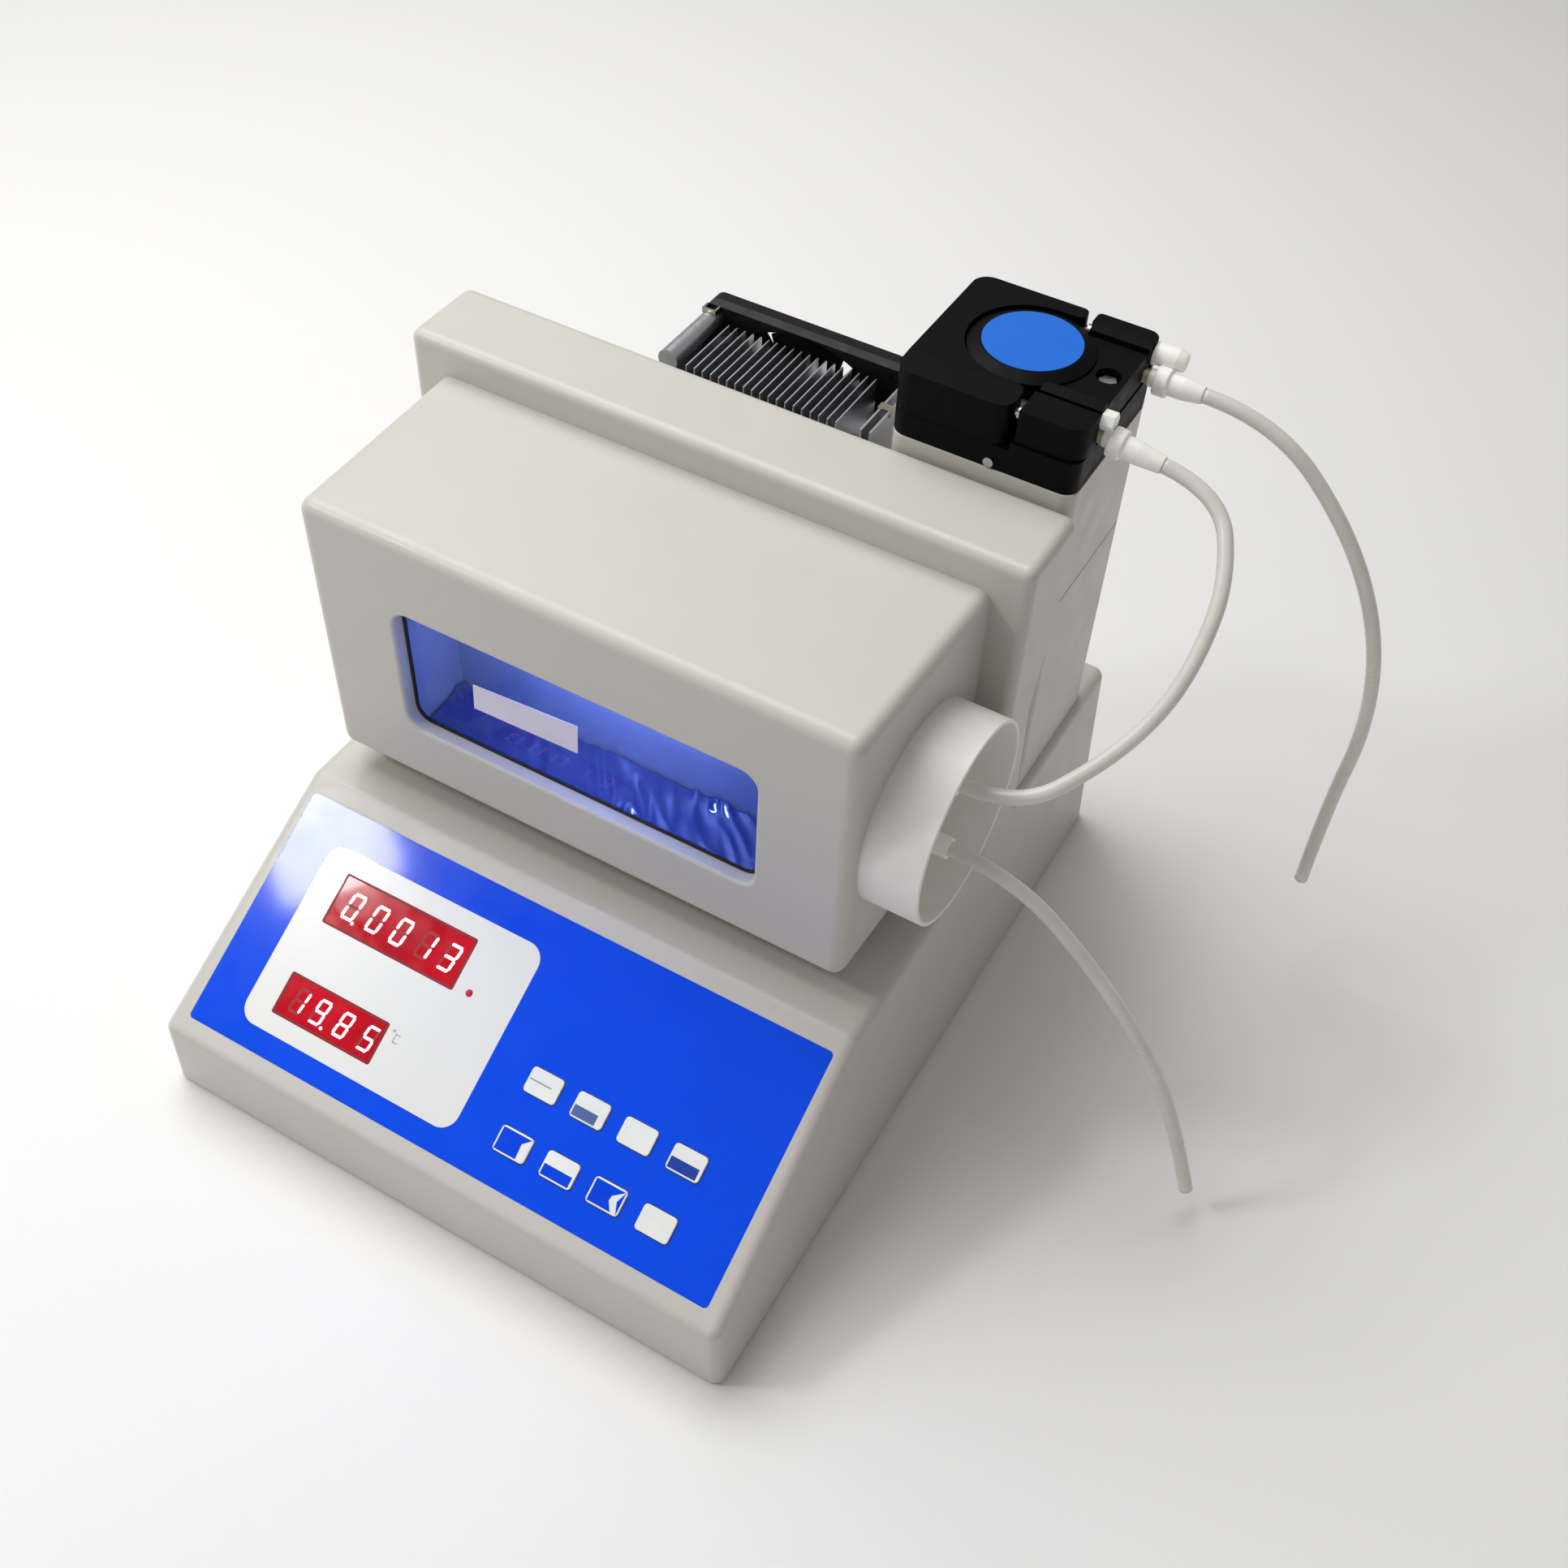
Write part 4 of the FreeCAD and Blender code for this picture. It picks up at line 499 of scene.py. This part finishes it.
def make_chamber():
    """Pale tray behind the pane: a back wall, a floor, a ceiling and two ends painted darker, as
    painted shade where the chamber lamp lights them strongly.
    """
    liner = moulded("chamber_liner", linear(204, 204, 208), 0.4, 0.5, grain=0.05)
    # The ends are a darker copy of the liner: painted shade.
    ends = moulded("chamber_ends", linear(158, 158, 164), 0.4, 0.5, grain=0.05)
    (x0, x1), (y0, y1), (z0, z1) = CHAMBER_X, CHAMBER_Y, CHAMBER_Z
    t = LINER_T
    points, faces = joined([box_mesh((x0, x1), (y1, y1 + t), (z0, z1)),
                            box_mesh((x0, x1), (y0, y1), (z0 - t, z0)),
                            box_mesh((x0, x1), (y0, y1), (z1, z1 + t))])
    mesh_piece("chamber_liner", points, faces, liner, root)
    points, faces = joined([box_mesh((x0 - t, x0), (y0, y1), (z0, z1)),
                            box_mesh((x1, x1 + t), (y0, y1), (z0, z1))])
    mesh_piece("chamber_ends", points, faces, ends, root)


def film_lift(x, y):
    """How far the film stands above the tray's floor: a broad swell with creases on it."""
    broad = noise.noise(Vector((x * SWELL_X, y * SWELL_Y, SWELL_SEED)))
    slanted = Vector((x * CREASE_X + y * CREASE_SLANT, y * CREASE_Y, CREASE_SEED))
    fine = 1.0 - abs(noise.noise(slanted)) * 2.0
    strength = max(CREASE_LEAST, broad + CREASE_BIAS)
    return FILM_LIFT + FILM_SWELL * broad + FILM_CREASE * fine * strength


def make_film():
    """A creased blue film lying on the tray's floor."""
    film = principled("creased_film", (0.034, 0.050, 0.18, 1.0), 0.16,
                      Coat_Weight=1.0, Coat_Roughness=0.04, Coat_IOR=2.0)
    add_sheen_map(film, low=0.10, high=0.24, scale=50.0)
    (x0, x1), (y0, y1) = [(a + FILM_MARGIN, b - FILM_MARGIN) for a, b in (CHAMBER_X, CHAMBER_Y)]
    points = []
    for j in range(FILM_ROWS + 1):
        for i in range(FILM_COLUMNS + 1):
            x = x0 + (x1 - x0) * i / FILM_COLUMNS
            y = y0 + (y1 - y0) * j / FILM_ROWS
            points.append(Vector((x, y, CHAMBER_Z[0] + film_lift(x, y))))
    across = FILM_COLUMNS + 1
    corners = [j * across + i for j in range(FILM_ROWS) for i in range(FILM_COLUMNS)]
    faces = [(first, first + 1, first + across + 1, first + across) for first in corners]
    sheet = mesh_piece("creased_film_sheet", points, faces, film, root)
    sheet.modifiers.new("thickness", "SOLIDIFY").thickness = FILM_T
    for polygon in sheet.data.polygons:
        polygon.use_smooth = True


def make_tag():
    """A pale strip stuck on the outside of the pane."""
    low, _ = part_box("window_pane")
    # The tag's glow is painted light.
    tag = translucent("pane_tag", linear(226, 222, 238), 0.15, 0.3, 0.45, painted_glow=0.05)
    front = [Vector((x, low.y - TAG_OFF, z)) for x, z in TAG_CORNERS]
    back = [p + Vector((0, TAG_T, 0)) for p in front]
    faces = [(0, 1, 2, 3), (7, 6, 5, 4)]
    faces += [(i, i + 4, (i + 1) % 4 + 4, (i + 1) % 4) for i in range(4)]
    mesh_piece("pane_tag_strip", front + back, faces, tag, root)


# ---- dress every CAD node ----------------------------------------------------------------
def dress_housing():
    dress(abs_plastic(), "console_shell", "hood_shell", "rear_frame", "pedestal_lower",
          "pedestal_upper")
    dress(moulded("floor_plate", linear(96, 98, 101), 0.4, 0.55), "bottom_plate")
    dress(rubber("foot_rubber", linear(28, 28, 29)), "rubber_feet", "window_gasket")
    dress(pane_blue(), "window_pane")
    # The port ring's glow is painted light.
    dress(translucent("ring_white", linear(232, 229, 224), 0.0, 0.34, 0.48, subsurface=0.15,
                      painted_glow=0.03), "port_ring")
    steel = metal("steel_fastener", linear(190, 190, 194), 0.2, 0.38)
    dress(steel, "bottom_screws", "pump_screws", "hex_bolt", "guide_pins")


def dress_panel():
    dress(overlay_film(), "panel_overlay")
    dress(label_film(), "display_label")
    dress(red_filter(), "display_windows")
    # The whole display block's emission is painted glow; only the digits' bars are lamps.
    dress(glowing("led_block", linear(120, 4, 24), 0.6), "led_displays")
    dress(glowing("led_red", linear(168, 14, 44), 0.5), "indicator_led")
    dress(moulded("key_white", linear(240, 242, 238), 0.32, 0.44, grain=0.06),
          *["key_%d" % i for i in range(1, 9)])


def dress_electrics_and_cooling():
    dress(circuit_board(), "front_board", "main_board")
    dress(metal("supply_metal", linear(170, 170, 174), 0.3, 0.5), "power_supply")
    dress(moulded("plastic_black", linear(16, 16, 18), 0.34, 0.5, specular=0.2),
          "power_inlet", "power_switch", "fan_frame", "fan_impeller")
    dress(metal("nickel", linear(212, 206, 190), 0.12, 0.26), "fan_clips")
    dress(metal("aluminium_block", linear(206, 208, 213), 0.24, 0.42, brushed=(1.0, 14.0, 14.0)),
          "thermostat_block", "heat_sink")
    dress(moulded("ceramic", linear(224, 223, 216), 0.4, 0.6), "peltier_module")
    dress(principled("cell_glass", linear(235, 242, 245), 0.03,
                     Transmission_Weight=1.0, IOR=1.47), "measuring_cell")
    dress(moulded("support_polymer", linear(214, 214, 208), 0.4, 0.55), "cell_supports")


def dress_pump():
    dress(moulded("pump_black", linear(7, 7, 8), 0.42, 0.56, grain=0.22, scale=3200.0,
                  specular=0.08),
          "pump_base", "tube_bed_block", "pump_nose", "clamp_blocks", "tube_jaws", "rotor_cap")
    dress(moulded("disc_blue", linear(36, 108, 210), 0.3, 0.4, grain=0.08, tone=0.01,
                  specular=0.2), "rotor_disc")
    dress(moulded("rotor_grey", linear(120, 120, 122), 0.35, 0.5), "pump_rotor")
    dress(moulded("roller_white", linear(225, 225, 220), 0.2, 0.35, grain=0.05),
          "roller_1", "roller_2", "roller_3")
    dress(metal("motor_steel", linear(60, 60, 64), 0.4, 0.6), "pump_motor")
    dress(translucent("pump_tubing", linear(206, 196, 158), 0.2, 0.3, 0.42, subsurface=0.3),
          "pump_tube")
    # The nylon pieces' glow is painted light.
    dress(translucent("nylon_white", linear(244, 244, 238), 0.15, 0.3, 0.42, subsurface=0.3,
                      painted_glow=0.05),
          "port_nipples", "hose_nuts", "hose_sleeves", "jaw_knobs")


# ---- floor and lights --------------------------------------------------------------------
FLOOR_HALF, FLOOR_WHITE = 6.0, (0.86, 0.86, 0.86, 1.0)
WORLD_COLOUR, WORLD_STRENGTH = (1.0, 0.975, 0.95, 1.0), 0.30
WHITE, WARM_WHITE = (1.0, 1.0, 1.0), (1.0, 0.998, 0.985)
# Each lamp: its name, its place, what it points at, its size, its watts and its colour.
LAMPS = (
    ("key_light", (-0.7, 0.25, 1.7), (0, 0, 0.12), (1.3, 1.3), 25.0, WARM_WHITE),
    ("front_light", (-0.9, -1.7, 0.75), (0, 0, 0.15), (1.2, 0.8), 3.0, WHITE),
    ("glare_light", (-0.954, -0.713, 1.31), (-0.12, -0.08, 0.1), (0.26, 0.16), 5.6, WHITE),
)
CHAMBER_MIDDLE = (CHAMBER_X[0] + CHAMBER_X[1]) / 2
CHAMBER_LAMP_AT = (CHAMBER_MIDDLE, -0.038, CHAMBER_Z[1] - 0.0015)
CHAMBER_LAMP_AIM = (CHAMBER_MIDDLE, -0.0379, 0.0)    # just off plumb, so its turn is defined
CHAMBER_LAMP_SIZE, CHAMBER_LAMP_WATTS = (0.10, 0.012), 0.13


def make_floor():
    half = FLOOR_HALF
    mesh = bpy.data.meshes.new("floor")
    mesh.from_pydata([(-half, -half, 0), (half, -half, 0), (half, half, 0), (-half, half, 0)], [],
                     [(0, 1, 2, 3)])
    floor = bpy.data.objects.new("floor", mesh)
    bpy.context.scene.collection.objects.link(floor)
    mesh.materials.append(principled("floor_white", FLOOR_WHITE, 0.6))


def area_light(name, at, aim, size, watts, colour):
    data = bpy.data.lights.new(name, "AREA")
    data.shape, data.energy, data.color = "RECTANGLE", watts, colour
    data.size, data.size_y = size
    light = bpy.data.objects.new(name, data)
    light.location = at
    light.rotation_euler = (Vector(aim) - Vector(at)).to_track_quat("-Z", "Y").to_euler()
    bpy.context.scene.collection.objects.link(light)


def make_lights():
    world = bpy.data.worlds.new("studio")
    world.use_nodes = True
    world.node_tree.nodes["Background"].inputs["Color"].default_value = WORLD_COLOUR
    world.node_tree.nodes["Background"].inputs["Strength"].default_value = WORLD_STRENGTH
    bpy.context.scene.world = world
    for lamp in LAMPS:
        area_light(*lamp)
    area_light("chamber_lamp", CHAMBER_LAMP_AT, CHAMBER_LAMP_AIM, CHAMBER_LAMP_SIZE,
               CHAMBER_LAMP_WATTS, WHITE)
    view = bpy.context.scene.view_settings
    view.view_transform = "Standard"
    view.look = "None"


make_camera()
make_hoses()
dress_housing()
dress_panel()
dress_electrics_and_cooling()
dress_pump()
make_digits()
make_key_print()
make_label_marks()
make_chamber()
make_film()
make_tag()
make_floor()
make_lights()
